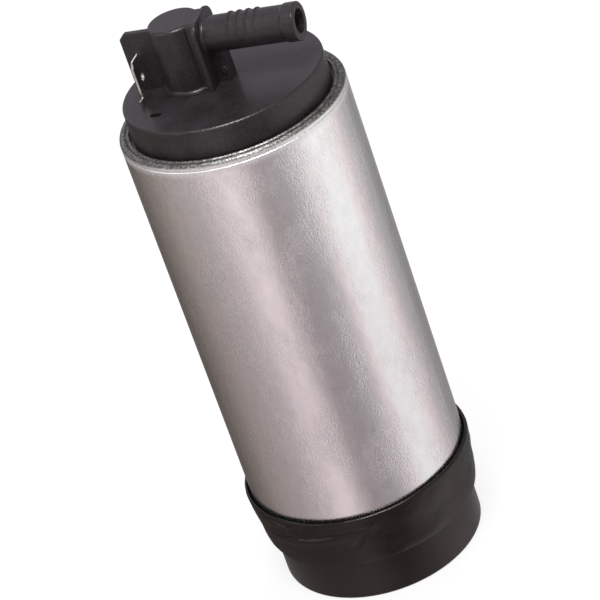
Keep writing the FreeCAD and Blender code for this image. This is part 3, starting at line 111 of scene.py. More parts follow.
class PumpSleeveSettings(bpy.types.PropertyGroup):
    steps: bpy.props.IntProperty(
        name="Steps round", description="Points round the sleeve", default=288, min=48, max=512
    )
    fold_depth: bpy.props.FloatProperty(
        name="Fold depth", description="Depth of the folds in the stretched rubber",
        default=0.00048, min=0.0, max=0.001, subtype="DISTANCE", unit="LENGTH",
    )
    waviness: bpy.props.FloatProperty(
        name="Waviness", description="Slow unevenness of the stretched rubber",
        default=0.00012, min=0.0, max=0.001, subtype="DISTANCE", unit="LENGTH",
    )


class PumpFinishSettings(bpy.types.PropertyGroup):
    can_colour: bpy.props.FloatVectorProperty(
        name="Can", description="Colour of the rolled aluminium can",
        default=(0.83, 0.815, 0.825), size=3, min=0.0, max=1.0, subtype="COLOR",
    )
    cap_colour: bpy.props.FloatVectorProperty(
        name="Cap", description="Colour of the moulded outlet cap",
        default=(0.0195, 0.0165, 0.0172), size=3, min=0.0, max=1.0, subtype="COLOR",
    )
    rubber_colour: bpy.props.FloatVectorProperty(
        name="Rubber", description="Colour of the sleeve and the cup",
        default=(0.0040, 0.0029, 0.0025), size=3, min=0.0, max=1.0, subtype="COLOR",
    )
    blade_colour: bpy.props.FloatVectorProperty(
        name="Blades", description="Colour of the tinned terminals",
        default=(0.86, 0.84, 0.80), size=3, min=0.0, max=1.0, subtype="COLOR",
    )
    can_grain: bpy.props.FloatProperty(
        name="Can grain", description="Width of the fine grain of the can's surface",
        default=0.00031, min=0.00005, max=0.002, subtype="DISTANCE", unit="LENGTH",
    )


class PumpStudioSettings(bpy.types.PropertyGroup):
    azimuth: bpy.props.FloatProperty(
        name="Azimuth", description="Where the camera stands round the pump",
        default=math.radians(25.66), subtype="ANGLE", unit="ROTATION",
    )
    elevation: bpy.props.FloatProperty(
        name="Elevation", description="How far the camera looks down",
        default=math.radians(29.36), subtype="ANGLE", unit="ROTATION",
    )
    roll: bpy.props.FloatProperty(
        name="Roll", description="How far the camera leans",
        default=math.radians(-19.53), subtype="ANGLE", unit="ROTATION",
    )
    distance: bpy.props.FloatProperty(
        name="Distance", description="From the camera to the point it is aimed at",
        default=0.55215, min=0.1, subtype="DISTANCE", unit="LENGTH",
    )
    lens: bpy.props.FloatProperty(
        name="Lens", description="Focal length of the camera on a 36 mm frame",
        default=176.27, min=20.0, subtype="DISTANCE_CAMERA",
    )


# Materials

class Nodes:
    """A node tree with short calls that add, set and link its nodes."""

    def __init__(self, tree):
        self.tree = tree

    def add(self, kind, **settings):
        node = self.tree.nodes.new(kind)
        for name, value in settings.items():
            setattr(node, name, value)
        return node

    def link(self, output, socket):
        self.tree.links.new(output, socket)

    def combine(self, first, second, operation="ADD"):
        """Arithmetic on two outputs, or on an output and a number."""
        node = self.add("ShaderNodeMath", operation=operation)
        for socket, value in zip(node.inputs, (first, second)):
            if isinstance(value, (int, float)):
                socket.default_value = value
            else:
                self.link(value, socket)
        return node.outputs[0]

    def spread(self, factor, low, high, start=0.3, end=0.7, interpolation="LINEAR"):
        """A factor between two levels, reached at start and end."""
        node = self.add("ShaderNodeMapRange", clamp=True, interpolation_type=interpolation)
        node.inputs["From Min"].default_value = start
        node.inputs["From Max"].default_value = end
        node.inputs["To Min"].default_value = low
        node.inputs["To Max"].default_value = high
        self.link(factor, node.inputs["Value"])
        return node.outputs["Result"]

    def blend(self, factor, first, second):
        """A colour between two, each an output or three numbers."""
        node = self.add("ShaderNodeMix", data_type="RGBA")
        self.link(factor, node.inputs["Factor"])
        for name, value in (("A", first), ("B", second)):
            if isinstance(value, tuple):
                node.inputs[name].default_value = (*value, 1.0)
            else:
                self.link(value, node.inputs[name])
        return node.outputs["Result"]

    def switch(self, factor, first, second):
        """One shader or the other."""
        node = self.add("ShaderNodeMixShader")
        for socket, output in zip(node.inputs, (factor, first, second)):
            self.link(output, socket)
        return node.outputs[0]


class Finish(Nodes):
    """A material in the making: its tree, its shader, and the object coordinates its patterns read."""

    def __init__(self, name, colour, roughness, metallic=0.0, **shader_values):
        self.material = bpy.data.materials.new(name)
        self.material.use_nodes = True
        super().__init__(self.material.node_tree)
        self.shader = self.tree.nodes["Principled BSDF"]
        self.place = self.add("ShaderNodeTexCoord").outputs["Object"]
        self.shader.inputs["Base Color"].default_value = (*colour, 1.0)
        self.shader.inputs["Roughness"].default_value = roughness
        self.shader.inputs["Metallic"].default_value = metallic
        for socket, value in shader_values.items():
            self.shader.inputs[socket.replace("_", " ")].default_value = value

    def stretched(self, stretch):
        """The object coordinates, scaled along each axis."""
        mapping = self.add("ShaderNodeMapping")
        mapping.inputs["Scale"].default_value = stretch
        self.link(self.place, mapping.inputs["Vector"])
        return mapping.outputs["Vector"]

    def grain(self, width, stretch=(1, 1, 1), detail=3.0, roughness=0.55):
        """Noise whose marks are about this wide, in metres."""
        node = self.add("ShaderNodeTexNoise")
        node.inputs["Scale"].default_value = 1.0 / width
        node.inputs["Detail"].default_value = detail
        node.inputs["Roughness"].default_value = roughness
        self.link(self.stretched(stretch), node.inputs["Vector"])
        return node.outputs["Fac"]

    def cells(self, width):
        """Distance to scattered points that are about this far apart, in metres."""
        node = self.add("ShaderNodeTexVoronoi")
        node.inputs["Scale"].default_value = 1.0 / width
        self.link(self.stretched((1, 1, 1)), node.inputs["Vector"])
        return node.outputs["Distance"]

    def above(self, low, high):
        """0 below one height of the pump and 1 above the other, in metres."""
        node = self.add("ShaderNodeSeparateXYZ")
        self.link(self.place, node.inputs["Vector"])
        return self.spread(node.outputs["Z"], 0.0, 1.0, low, high)

    def near_top(self, top, band):
        """0 below a band under the given height and 1 above it."""
        return self.above(top - band[0], top - band[1])

    def colour_from(self, output):
        self.link(output, self.shader.inputs["Base Color"])

    def roughness_from(self, output):
        self.link(output, self.shader.inputs["Roughness"])

    def relief(self, height, distance):
        """Bump whose full height is this distance, in metres."""
        node = self.add("ShaderNodeBump")
        node.inputs["Strength"].default_value = 1.0
        node.inputs["Distance"].default_value = distance
        self.link(height, node.inputs["Height"])
        self.link(node.outputs["Normal"], self.shader.inputs["Normal"])


def shade(colour, change):
    """A colour made darker, lighter or of another hue, by one factor or by one for each channel."""
    factors = change if isinstance(change, tuple) else (change, change, change)
    return tuple(min(1.0, part * factor) for part, factor in zip(colour, factors))


def dress(node_name, material):
    """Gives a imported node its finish."""
    slots = NODES[node_name].data.materials
    if len(slots) == 0:
        slots.append(material)
    for index in range(len(slots)):
        slots[index] = material


def can_finish(settings):
    """Satin aluminium with a patchy sparkle of fine grain, and a duller rim on top, its scuff speckles
    darkened as painted shade.
    """
    colour = tuple(settings.can_colour)
    width = settings.can_grain
    finish = Finish("satin_can_aluminium", colour, 0.3, metallic=1.0)
    grain = finish.grain(width, stretch=(1, 1, 0.55), detail=3.0, roughness=0.6)
    blotches = finish.grain(width * 5.0, stretch=(1, 1, 0.6), detail=3.0)
    waves = finish.grain(width * 9.0, stretch=(1, 1, 0.5), detail=2.0)
    patches = finish.grain(6.0 * MM, stretch=(1, 1, 0.5), detail=3.0)
    patches = finish.spread(patches, 0.12, 1.15, 0.42, 0.62)
    sparkle = finish.combine(finish.spread(grain, -0.5, 0.5, 0.34, 0.66), patches, "MULTIPLY")

    uneven = finish.combine(sparkle, finish.spread(blotches, 0.25, 0.75, 0.32, 0.68))
    fresh = finish.blend(uneven, shade(colour, 0.86), shade(colour, 1.0))
    paler = finish.blend(uneven, shade(CAN_TOP_COLOUR, 0.9), shade(CAN_TOP_COLOUR, 1.06))
    tone = finish.blend(finish.above(*CAN_PALER), fresh, paler)
    # The rim's scuff speckles, darkened as painted shade of a dark reflection
    scuffs = finish.spread(finish.grain(0.4 * MM, detail=4.0, roughness=0.7), 0.0, 1.0, 0.45, 0.64)
    scuffed_and_shaded = finish.blend(scuffs, SCUFF_AND_SHADE_DARK, SCUFF_AND_SHADE_BRIGHT)
    finish.colour_from(finish.blend(finish.near_top(CAN_TOP, RIM_BAND), tone, scuffed_and_shaded))

    shoulder = finish.near_top(CAN_TOP, SHOULDER_BAND)
    dull = finish.combine(shoulder, SHOULDER_DULLNESS, "MULTIPLY")
    finish.roughness_from(finish.combine(finish.spread(grain, 0.20, 0.28, 0.35, 0.65), dull))

    clear = finish.combine(finish.above(SLEEVE_TOP, SLEEVE_TOP + SLEEVE_CLEARANCE),
                           finish.near_top(CAN_TOP, SMOOTH_BAND), "SUBTRACT")
    swell = finish.spread(waves, -0.5, 0.5, 0.2, 0.8)
    height = finish.combine(finish.combine(sparkle, swell), clear, "MULTIPLY")
    finish.relief(height, 0.026 * MM)
    return finish.material


def moulded_finish(name, colour, roughness=0.4, dust=0.35, relief=0.01 * MM, **shader_values):
    """Satin moulded plastic with a fine eggshell surface, rubbed in places, and a glossier skin."""
    skin = {"Specular_IOR_Level": 0.27, "Coat_Weight": 0.32, "Coat_Roughness": 0.2}
    finish = Finish(name, colour, roughness, **{**skin, **shader_values})
    eggshell = finish.grain(0.35 * MM, detail=4.0, roughness=0.6)
    smears = finish.grain(6.0 * MM, stretch=(1, 1, 0.6), detail=3.0)
    mottle = finish.grain(0.6 * MM, detail=3.0, roughness=0.7)
    specks = finish.cells(1.1 * MM)
    uneven = finish.combine(finish.spread(smears, 0.0, 0.5, 0.35, 0.7),
                            finish.spread(mottle, 0.0, 0.5, 0.35, 0.65))
    base = finish.blend(uneven, shade(colour, WARM_SPOTS), shade(colour, COOL_SPOTS))
    dusty = finish.combine(finish.spread(specks, 1.0, 0.0, 0.04, 0.14), dust, "MULTIPLY")
    finish.colour_from(finish.blend(dusty, base, shade(colour, DUST_PALENESS)))
    finish.roughness_from(finish.combine(
        finish.spread(smears, roughness - 0.05, roughness + 0.07),
        finish.spread(eggshell, -0.02, 0.03),
    ))
    finish.relief(eggshell, relief)
    return finish.material


def rubber_finish(settings):
    """Soft black rubber with a silky bloom."""
    colour = tuple(settings.rubber_colour)
    finish = Finish("soft_black_rubber", colour, 0.3, Specular_IOR_Level=0.36, Specular_Tint=WARM_GLOSS)
    bloom = finish.grain(4.0 * MM, stretch=(1, 1, 1.6), detail=4.0)
    fine = finish.grain(0.22 * MM, detail=3.0)
    bloomed = finish.spread(bloom, 0.0, 1.0, 0.35, 0.7)
    finish.colour_from(finish.blend(bloomed, shade(colour, 0.85), shade(colour, 1.25)))
    finish.roughness_from(finish.combine(finish.spread(bloom, 0.25, 0.36), finish.spread(fine, -0.02, 0.02)))
    finish.relief(fine, 0.006 * MM)
    return finish.material


def tinned_finish(settings):
    """Bright tin plate, drawn along the blade, with a less metallic sheared edge on top that shows as a
    painted highlight.
    """
    colour = tuple(settings.blade_colour)
    finish = Finish("tinned_blade", colour, 0.16, metallic=1.0)
    drawn = finish.grain(0.12 * MM, stretch=(1, 1, 0.05), detail=3.0)
    blotches = finish.spread(finish.grain(1.5 * MM, detail=3.0), 0.0, 1.0)
    finish.colour_from(finish.blend(blotches, shade(colour, 0.9), shade(colour, 1.05)))
    finish.roughness_from(finish.spread(drawn, 0.12, 0.26))
    finish.relief(drawn, 0.004 * MM)
    # Painted highlight: the top edge is made less metallic, so its pale colour shows bright under the lamps
    painted_highlight = finish.combine(finish.near_top(BLADE_TOP, SHEARED_EDGE_HIGHLIGHT), SHEARED_HIGHLIGHT_LOSS, "MULTIPLY")
    finish.link(finish.combine(1.0, painted_highlight, "SUBTRACT"), finish.shader.inputs["Metallic"])
    return finish.material


def metal_finish(name, colour, roughness, width=0.3 * MM, stretch=(1, 1, 1)):
    """Turned, ground or drawn metal with fine marks."""
    finish = Finish(name, colour, roughness, metallic=1.0)
    marks = finish.grain(width, stretch=stretch, detail=3.0)
    stain = finish.spread(finish.grain(width * 12, detail=3.0), 0.0, 1.0)
    finish.colour_from(finish.blend(stain, shade(colour, 0.82), shade(colour, 1.06)))
    finish.roughness_from(finish.spread(marks, roughness - 0.06, roughness + 0.1))
    finish.relief(marks, 0.006 * MM)
    return finish.material


def pressed_finish(name, colour, roughness=0.75):
    """Pressed powder such as ferrite or carbon: dark, dry and slightly grainy."""
    finish = Finish(name, colour, roughness)
    powder = finish.grain(0.2 * MM, detail=4.0, roughness=0.7)
    finish.colour_from(finish.blend(finish.spread(powder, 0.0, 1.0), shade(colour, 0.75), shade(colour, 1.4)))
    finish.roughness_from(finish.spread(powder, roughness - 0.1, roughness + 0.1))
    finish.relief(powder, 0.02 * MM)
    return finish.material


def wound_finish():
    """Enamelled copper wire, with its turns as ridges up the piece and painted shade in the grooves between
    them.
    """
    colour = (0.55, 0.19, 0.07)
    finish = Finish("enamelled_copper", colour, 0.3, metallic=1.0)
    turns = finish.add("ShaderNodeTexWave", wave_type="BANDS", bands_direction="Z")
    turns.inputs["Scale"].default_value = 550.0
    turns.inputs["Distortion"].default_value = 1.5
    finish.link(finish.place, turns.inputs["Vector"])
    # The grooves between the turns are darkened: painted shade
    finish.colour_from(finish.blend(turns.outputs["Fac"], shade(colour, 0.5), shade(colour, 1.15)))
    finish.relief(turns.outputs["Fac"], 0.1 * MM)
    return finish.material


# The rubber sleeve and the springs

# The sleeve's inner face stands this far off the can and the cup, in millimetres
SKIN_GAP = 0.02
# Height in millimetres under which the inner face lies on the cup, and above it on the can
INNER_STEP = 14.6
# Corners this close to the inner face stay where they are, and no fold leaves less wall than the second
FIXED_WALL = 0.06 * MM
LEAST_WALL = 0.1 * MM
# Width of the rubber's slow waves, and how much finer and how strong the ones on top of them are
WAVE_LENGTH = 7.0 * MM
FINE_WAVES = 3.1
FINE_SHARE = 0.4
# Over this height under its edge, in millimetres, the lip rises and sinks a little
LIP_HEIGHT = 2.0
LIP_RISE = 0.22 * MM
LIP_DROP = 0.18 * MM
LIP_WAVE_LENGTH = 11.0 * MM
# The lip lies closer to the can round this heading, in degrees
CLOSE_HEADING = -15.0
CLOSE_HALF = 70.0
CLOSE_DEPTH = 0.22 * MM

# The creases of the stretched rubber. Each has its heading and half width in degrees, how softly it
# ends, its height in millimetres with the slope and the swing of its line, and then its rolls: how far
# each pulls in (negative) or swells out, how far above the line it lies, and how wide it is
CREASES = (
    # one long crease round the front left, with a soft roll above and below it
    (-102.0, 34.0, 0.35, 16.5, 0.012, 0.5, ((-1.1, 0.0, 0.27), (0.75, 0.8, 0.45), (0.5, -1.1, 0.7))),
    # a shorter crease close under the lip
    (-121.0, 16.0, 0.5, 19.1, -0.05, 0.0, ((-0.8, 0.0, 0.25), (0.5, -0.55, 0.35))),
    # the pucker where the long crease ends
    (-72.0, 12.0, 1.0, 15.8, 0.26, 0.0, ((-0.8, 0.0, 0.5), (0.5, 1.1, 0.6), (0.4, -1.2, 0.6))),
    # softer creases on the far side
    (20.0, 30.0, 0.6, 15.2, 0.03, 0.0, ((-0.5, 0.0, 0.4), (0.25, 1.1, 0.6))),
    (95.0, 38.0, 0.6, 17.2, -0.02, 0.0, ((-0.6, 0.0, 0.4), (0.3, 1.1, 0.6))),
    (160.0, 24.0, 0.6, 14.4, 0.04, 0.0, ((-0.45, 0.0, 0.4), (0.225, 1.1, 0.6))),
)


def object_from(mesh, name, material):
    """Turns a bmesh into an object with smooth faces and one finish."""
    data = bpy.data.meshes.new(name)
    mesh.to_mesh(data)
    mesh.free()
    data.materials.append(material)
    for polygon in data.polygons:
        polygon.use_smooth = True
    piece = bpy.data.objects.new(name, data)
    bpy.context.scene.collection.objects.link(piece)
    return piece


def spun(profile, steps):
    """A closed ring from a closed profile of (radius, height) points, turned about the pump's axis."""
    mesh = bmesh.new()
    corners = [mesh.verts.new((radius, 0.0, height)) for radius, height in profile]
    edges = [mesh.edges.new((corners[index - 1], corners[index])) for index in range(len(corners))]
    bmesh.ops.spin(
        mesh, geom=corners + edges, cent=(0, 0, 0), axis=(0, 0, 1), dvec=(0, 0, 0),
        angle=math.tau, steps=steps, use_merge=True, use_duplicate=False,
    )
    bmesh.ops.recalc_face_normals(mesh, faces=mesh.faces)
    return mesh


def smooth_curve(points, per_span):
    """A smooth line through the given points."""
    line = []
    count = len(points)
    for index in range(count - 1):
        before = Vector(points[max(index - 1, 0)])
        start = Vector(points[index])
        end = Vector(points[index + 1])
        after = Vector(points[min(index + 2, count - 1)])
        for step in range(per_span):
            t = step / per_span
            place = 0.5 * (
                2 * start + (end - before) * t + (2 * before - 5 * start + 4 * end - after) * t * t
                + (3 * start - before - 3 * end + after) * t ** 3
            )
            line.append((place.x, place.y))
    line.append(tuple(points[-1]))
    return line


def arch(value, half_width):
    """A smooth hump from 0 up to 1, where the value is 0, and back."""
    distance = abs(value) / half_width
    return 0.0 if distance >= 1.0 else 0.5 + 0.5 * math.cos(math.pi * distance)


def turn_from(angle, reference):
    """Signed difference of two angles in degrees."""
    return (angle - reference + 180.0) % 360.0 - 180.0


def dip(height, middle, width):
    """A bell that is 1 at its middle."""
    return math.exp(-(((height - middle) / width) ** 2))


def crease_shift(angle, height):
    """How far the creases pull the sleeve in (negative) or push it out, as a share of the fold depth."""
    change = 0.0
    for heading, half, softness, level, slope, swing, rolls in CREASES:
        along = turn_from(angle, heading)
        if abs(along) >= half:
            continue
        middle = level + swing * math.sin(math.radians(along * 3.0)) + slope * along
        shift = sum(amount * dip(height, middle + offset, width) for amount, offset, width in rolls)
        change += arch(along, half) ** softness * shift
    return change


def sleeve_profile():
    """The sleeve's section: from its hem up over the lip, down to the can and along the inner face."""
    can = CAN_RADIUS / MM + SKIN_GAP
    cup = CUP_RADIUS / MM + SKIN_GAP
    low = SLEEVE_BOTTOM / MM
    high = SLEEVE_TOP / MM
    lip = LIP_RADIUS / MM
    outer = smooth_curve([
        (cup + 0.25, low + 0.02), (cup + 1.0, low), (cup + 1.2, low + 0.14), (cup + 1.5, low + 1.3),
        (cup + 1.72, low + 3.1), (cup + 1.9, low + 5.1), (cup + 2.2, low + 7.1), (lip - 0.12, low + 8.6),
        (lip - 0.04, low + 10.0), (lip - 0.03, high - 0.55), (lip - 0.12, high - 0.15),
        (lip - 0.32, high - 0.01), (lip - 0.52, high - 0.15), (lip - 0.66, high - 0.6), (can, high - 1.5),
    ], 5)
    inner = [
        (can, high - 2.5), (can, INNER_STEP), (can - 0.25, 13.85), (can - 0.9, 13.62),
        (cup, 13.6), (cup, 11.5), (cup, low + 0.3),
    ]
    return [(radius * MM, height * MM) for radius, height in outer + inner]


def uneven_corner(place, settings):
    """Where a corner of the sleeve's wall goes when the rubber is creased, wavy and flared."""
    radius = math.hypot(place.x, place.y)
    height = place.z / MM
    top = SLEEVE_TOP / MM
    floor = (CAN_RADIUS if height > INNER_STEP else CUP_RADIUS) + SKIN_GAP * MM
    if radius < floor + FIXED_WALL:
        return place
    angle = math.degrees(math.atan2(place.y, place.x))
    spot = Vector((place.x, place.y, place.z * 1.5)) / WAVE_LENGTH
    change = settings.fold_depth * crease_shift(angle, height) + settings.waviness * noise.noise(spot)
    change += FINE_SHARE * settings.waviness * noise.noise(spot * FINE_WAVES + Vector((5, 3, 1)))
    beside = turn_from(angle, CLOSE_HEADING)
    if height > top - 1.0 and radius < LIP_RADIUS - 0.4 * MM:
        change -= CLOSE_DEPTH * arch(beside, CLOSE_HALF) ** 0.5
    lift = 0.0
    if height > top - LIP_HEIGHT:
        lift = LIP_RISE * noise.noise(Vector((place.x, place.y, 7.0)) / LIP_WAVE_LENGTH) - LIP_DROP
        lift *= (height - top + LIP_HEIGHT) / LIP_HEIGHT
    scale = min(max(radius + change, floor + LEAST_WALL), LIP_RADIUS) / radius
    return Vector((place.x * scale, place.y * scale, place.z + lift))


def make_sleeve(settings, material):
    """The rubber sleeve: stretched over the can's end, flared at its lip, creased and slightly uneven."""
    mesh = spun(sleeve_profile(), settings.steps)
    for corner in mesh.verts:
        corner.co = uneven_corner(corner.co, settings)
    sleeve = object_from(mesh, "sleeve_rubber_skin", material)
    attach(sleeve, "pump")
    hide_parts("rubber_sleeve")


def make_spring(node_name, material):
    """A spring rebuilt from its imported piece with one finish, and that piece hidden."""
    mesh = bmesh.new()
    mesh.from_mesh(NODES[node_name].data)
    bmesh.ops.remove_doubles(mesh, verts=mesh.verts, dist=SAME_POINT)
    bmesh.ops.recalc_face_normals(mesh, faces=mesh.faces)
    piece = object_from(mesh, node_name + "_coil", material)
    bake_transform(piece)
    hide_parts(node_name)


# The studio

# Tints of its light
WARM_LIGHT = (1.18, 1.0, 0.92)
ROSE_LIGHT = (1.16, 1.0, 1.03)
AMBER_LIGHT = (1.38, 1.0, 0.98)
PLAIN_LIGHT = (1.04, 1.0, 1.03)
COOL_LIGHT = (1.0, 0.94, 1.08)
WHITE_LIGHT = (1.0, 1.0, 1.0)
# The studio that gloss shows, by heading in degrees in the pump's frame, with the level and tint of its
# light: first below the horizon, where an upright wall looks, then above it, where a level face looks
STUDIO_LOW = [
    (-180.0, 0.21, WARM_LIGHT), (-160.0, 0.31, WARM_LIGHT), (-136.0, 0.38, ROSE_LIGHT),
    (-122.0, 0.43, ROSE_LIGHT), (-110.0, 0.53, ROSE_LIGHT), (-98.0, 0.76, ROSE_LIGHT),
    (-86.0, 0.81, ROSE_LIGHT), (-75.0, 0.49, ROSE_LIGHT), (-63.0, 0.26, ROSE_LIGHT),
    (-50.0, 0.35, ROSE_LIGHT), (-38.0, 0.35, PLAIN_LIGHT), (-26.0, 0.50, PLAIN_LIGHT),
    (-14.0, 0.73, ROSE_LIGHT), (-2.0, 1.24, AMBER_LIGHT), (10.0, 1.28, AMBER_LIGHT),
    (22.0, 1.00, AMBER_LIGHT), (34.0, 0.70, ROSE_LIGHT), (46.0, 0.51, PLAIN_LIGHT),
    (58.0, 0.42, PLAIN_LIGHT), (70.0, 0.37, PLAIN_LIGHT), (84.0, 0.15, PLAIN_LIGHT),
    (98.0, 0.42, PLAIN_LIGHT), (118.0, 0.33, WARM_LIGHT), (136.0, 0.03, WARM_LIGHT),
    (156.0, 0.14, WARM_LIGHT), (180.0, 0.21, WARM_LIGHT),
]
STUDIO_HIGH = [
    (-180.0, 0.25, WHITE_LIGHT), (-120.0, 0.40, WHITE_LIGHT), (-88.0, 0.55, WHITE_LIGHT),
    (-20.0, 0.60, WHITE_LIGHT), (10.0, 0.50, WHITE_LIGHT), (60.0, 0.34, WHITE_LIGHT),
    (90.0, 0.38, COOL_LIGHT), (115.0, 0.41, COOL_LIGHT), (138.0, 0.92, COOL_LIGHT),
    (160.0, 0.60, COOL_LIGHT), (180.0, 0.25, WHITE_LIGHT),
]
# Between these heights of a direction's tip, the lower ring passes into the upper one
HORIZON = (-0.15, 0.25)
# One strong soft box that only gloss shows: where it stands, its half angle and its soft edge in
# degrees, and its brightness
SOFT_BOX_AIM = (0.25, -0.42, 0.87)
SOFT_BOX_HALF_ANGLE = 12.0
SOFT_BOX_EDGE = 4.0
SOFT_BOX_LEVEL = 8.0
# Level of the even light that every surface gets without gloss
EVEN_LEVEL = 0.62
# Each lamp's name, place, aim, size in metres, power in watts, and whether gloss shows it
LAMPS = (
    ("key_lamp", (0.09, -0.24, 0.70), (0, 0, 0.10), 0.22, 3.2, True),
    ("fill_lamp", (-0.6, -0.5, 0.35), (0, 0, 0.06), 0.6, 1.4, True),
    ("rim_lamp", (0.1, 0.7, 0.5), (0, 0, 0.06), 0.5, 3.0, False),
)
FLOOR_RADIUS = 3.0
# Share of plain white that the camera sees in the floor
FLOOR_WHITE = 0.8
# The camera is aimed at a point beside the axis and below the can's top, in metres
AIM_BESIDE = -0.000133
AIM_BELOW_TOP = 0.04328


def studio_ring(nodes, turns, levels):
    """Brightness round the studio as a smooth ramp over the heading."""
    ring = nodes.add("ShaderNodeValToRGB")
    ring.color_ramp.interpolation = "B_SPLINE"
    elements = ring.color_ramp.elements
    for index, (degrees, level, tint) in enumerate(levels):
        position = (degrees + 180.0) / 360.0
        element = elements[index] if index < 2 else elements.new(position)
        element.position = position
        element.color = (*(level * part for part in tint), 1.0)
    nodes.link(turns, ring.inputs["Fac"])
    return ring.outputs["Color"]


def studio_gloss(nodes):
    """Colour of the studio that gloss shows: the two rings and the soft box."""
    direction = nodes.add("ShaderNodeTexCoord").outputs["Generated"]
    split = nodes.add("ShaderNodeSeparateXYZ")
    nodes.link(direction, split.inputs["Vector"])
    heading = nodes.combine(split.outputs["Y"], split.outputs["X"], "ARCTAN2")
    turns = nodes.spread(heading, 0.0, 1.0, -math.pi, math.pi)
    upward = nodes.spread(split.outputs["Z"], 0.0, 1.0, *HORIZON, "SMOOTHSTEP")
    rings = nodes.blend(upward, studio_ring(nodes, turns, STUDIO_LOW), studio_ring(nodes, turns, STUDIO_HIGH))
    toward = nodes.add("ShaderNodeVectorMath", operation="DOT_PRODUCT")
    nodes.link(direction, toward.inputs[0])
    toward.inputs[1].default_value = Vector(SOFT_BOX_AIM).normalized()
    outside = math.cos(math.radians(SOFT_BOX_HALF_ANGLE + SOFT_BOX_EDGE))
    inside = math.cos(math.radians(SOFT_BOX_HALF_ANGLE))
    box = nodes.spread(toward.outputs["Value"], 0.0, SOFT_BOX_LEVEL, outside, inside, "SMOOTHSTEP")
    lit = nodes.add("ShaderNodeMix", data_type="RGBA", blend_type="ADD")
    lit.inputs["Factor"].default_value = 1.0
    nodes.link(rings, lit.inputs["A"])
    nodes.link(box, lit.inputs["B"])
    return lit.outputs["Result"]


def background(nodes, level):
    """A white background of one level."""
    node = nodes.add("ShaderNodeBackground")
    node.inputs["Color"].default_value = (1, 1, 1, 1)
    node.inputs["Strength"].default_value = level
    return node


def set_world(scene):
    """An even pale studio for soft light, a white background, and a studio with a soft box for gloss."""
    world = bpy.data.worlds.new("studio_world")
    world.use_nodes = True
    scene.world = world
    nodes = Nodes(world.node_tree)
    nodes.tree.nodes.clear()
    path = nodes.add("ShaderNodeLightPath")
    gloss = background(nodes, 1.0)
    nodes.link(studio_gloss(nodes), gloss.inputs["Color"])
    even = background(nodes, EVEN_LEVEL)
    light = nodes.switch(path.outputs["Is Glossy Ray"], even.outputs[0], gloss.outputs[0])
    seen = nodes.combine(path.outputs["Is Camera Ray"], path.outputs["Is Transmission Ray"], "MAXIMUM")
    white = background(nodes, 1.0)
    output = nodes.add("ShaderNodeOutputWorld")
    nodes.link(nodes.switch(seen, light, white.outputs[0]), output.inputs["Surface"])


def add_lamp(name, place, target, size, power, glossy):
    """A soft square lamp aimed at a point."""
    light = bpy.data.lights.new(name, "AREA")
    light.shape = "SQUARE"
    light.size = size
    light.energy = power
    lamp = bpy.data.objects.new(name, light)
    lamp.location = place
    aim = Vector(target) - Vector(place)
    lamp.rotation_euler = aim.to_track_quat("-Z", "Y").to_euler()
    lamp.visible_camera = False
    lamp.visible_glossy = glossy
    bpy.context.scene.collection.objects.link(lamp)


def make_floor():
    """A wide pale floor that the camera sees as white apart from a faint shadow."""
    finish = Finish("studio_white", (0.9, 0.9, 0.9), 0.9, Specular_IOR_Level=0.0)
    glow = finish.add("ShaderNodeEmission")
    glow.inputs["Color"].default_value = (1, 1, 1, 1)
    glow.inputs["Strength"].default_value = 1.0
    path = finish.add("ShaderNodeLightPath")
    amount = finish.combine(path.outputs["Is Camera Ray"], FLOOR_WHITE, "MULTIPLY")
    seen = finish.switch(amount, finish.shader.outputs[0], glow.outputs[0])
    finish.link(seen, finish.tree.nodes["Material Output"].inputs["Surface"])
    mesh = bmesh.new()
    bmesh.ops.create_circle(mesh, cap_ends=True, cap_tris=False, segments=96, radius=FLOOR_RADIUS)
    floor = object_from(mesh, "studio_floor", finish.material)
    floor.visible_glossy = False


def make_camera(settings):
    """The camera at the photograph's angle, leaning as the photograph does."""
    back = Vector((0, -math.cos(settings.elevation), math.sin(settings.elevation)))
    right = Vector((1, 0, 0))
    up = back.cross(right)
    across = math.cos(settings.roll) * right + math.sin(settings.roll) * up
    upward = -math.sin(settings.roll) * right + math.cos(settings.roll) * up
    target = Vector((AIM_BESIDE, 0.0, CAN_TOP - AIM_BELOW_TOP))
    pose = Matrix((
        (across.x, upward.x, back.x, 0), (across.y, upward.y, back.y, 0),
        (across.z, upward.z, back.z, 0), (0, 0, 0, 1),
    ))
    pose.translation = target + back * settings.distance
    camera_data = bpy.data.cameras.new("photo_camera")
    camera_data.lens = settings.lens
    camera_data.sensor_width = 36.0
    camera_data.clip_start = 0.01
    camera_data.clip_end = 20.0
    camera = bpy.data.objects.new("photo_camera", camera_data)
    camera.matrix_world = Matrix.Rotation(settings.azimuth, 4, "Z") @ pose
    bpy.context.scene.collection.objects.link(camera)
    bpy.context.scene.camera = camera


# Operators

class PUMP_OT_dress_can(bpy.types.Operator):
    """Gives the can its satin aluminium"""
    bl_idname = "pump.dress_can"
    bl_label = "Dress the can"

    def execute(self, context):
        dress("can", can_finish(context.scene.pump_finish))
        return {"FINISHED"}


class PUMP_OT_dress_cap(bpy.types.Operator):
    """Gives the outlet cap its satin black plastic"""
    bl_idname = "pump.dress_cap"
    bl_label = "Dress the outlet cap"

    def execute(self, context):
        colour = tuple(context.scene.pump_finish.cap_colour)
        dress("outlet_cap", moulded_finish("cap_black_plastic", colour, dust=0.6, relief=0.06 * MM))
        return {"FINISHED"}


class PUMP_OT_dress_blades(bpy.types.Operator):
    """Gives the blade terminals their tin plate"""
    bl_idname = "pump.dress_blades"
    bl_label = "Dress the blade terminals"

    def execute(self, context):
        tin = tinned_finish(context.scene.pump_finish)
        for name in ("terminal_positive", "terminal_negative"):
            dress(name, tin)
        return {"FINISHED"}


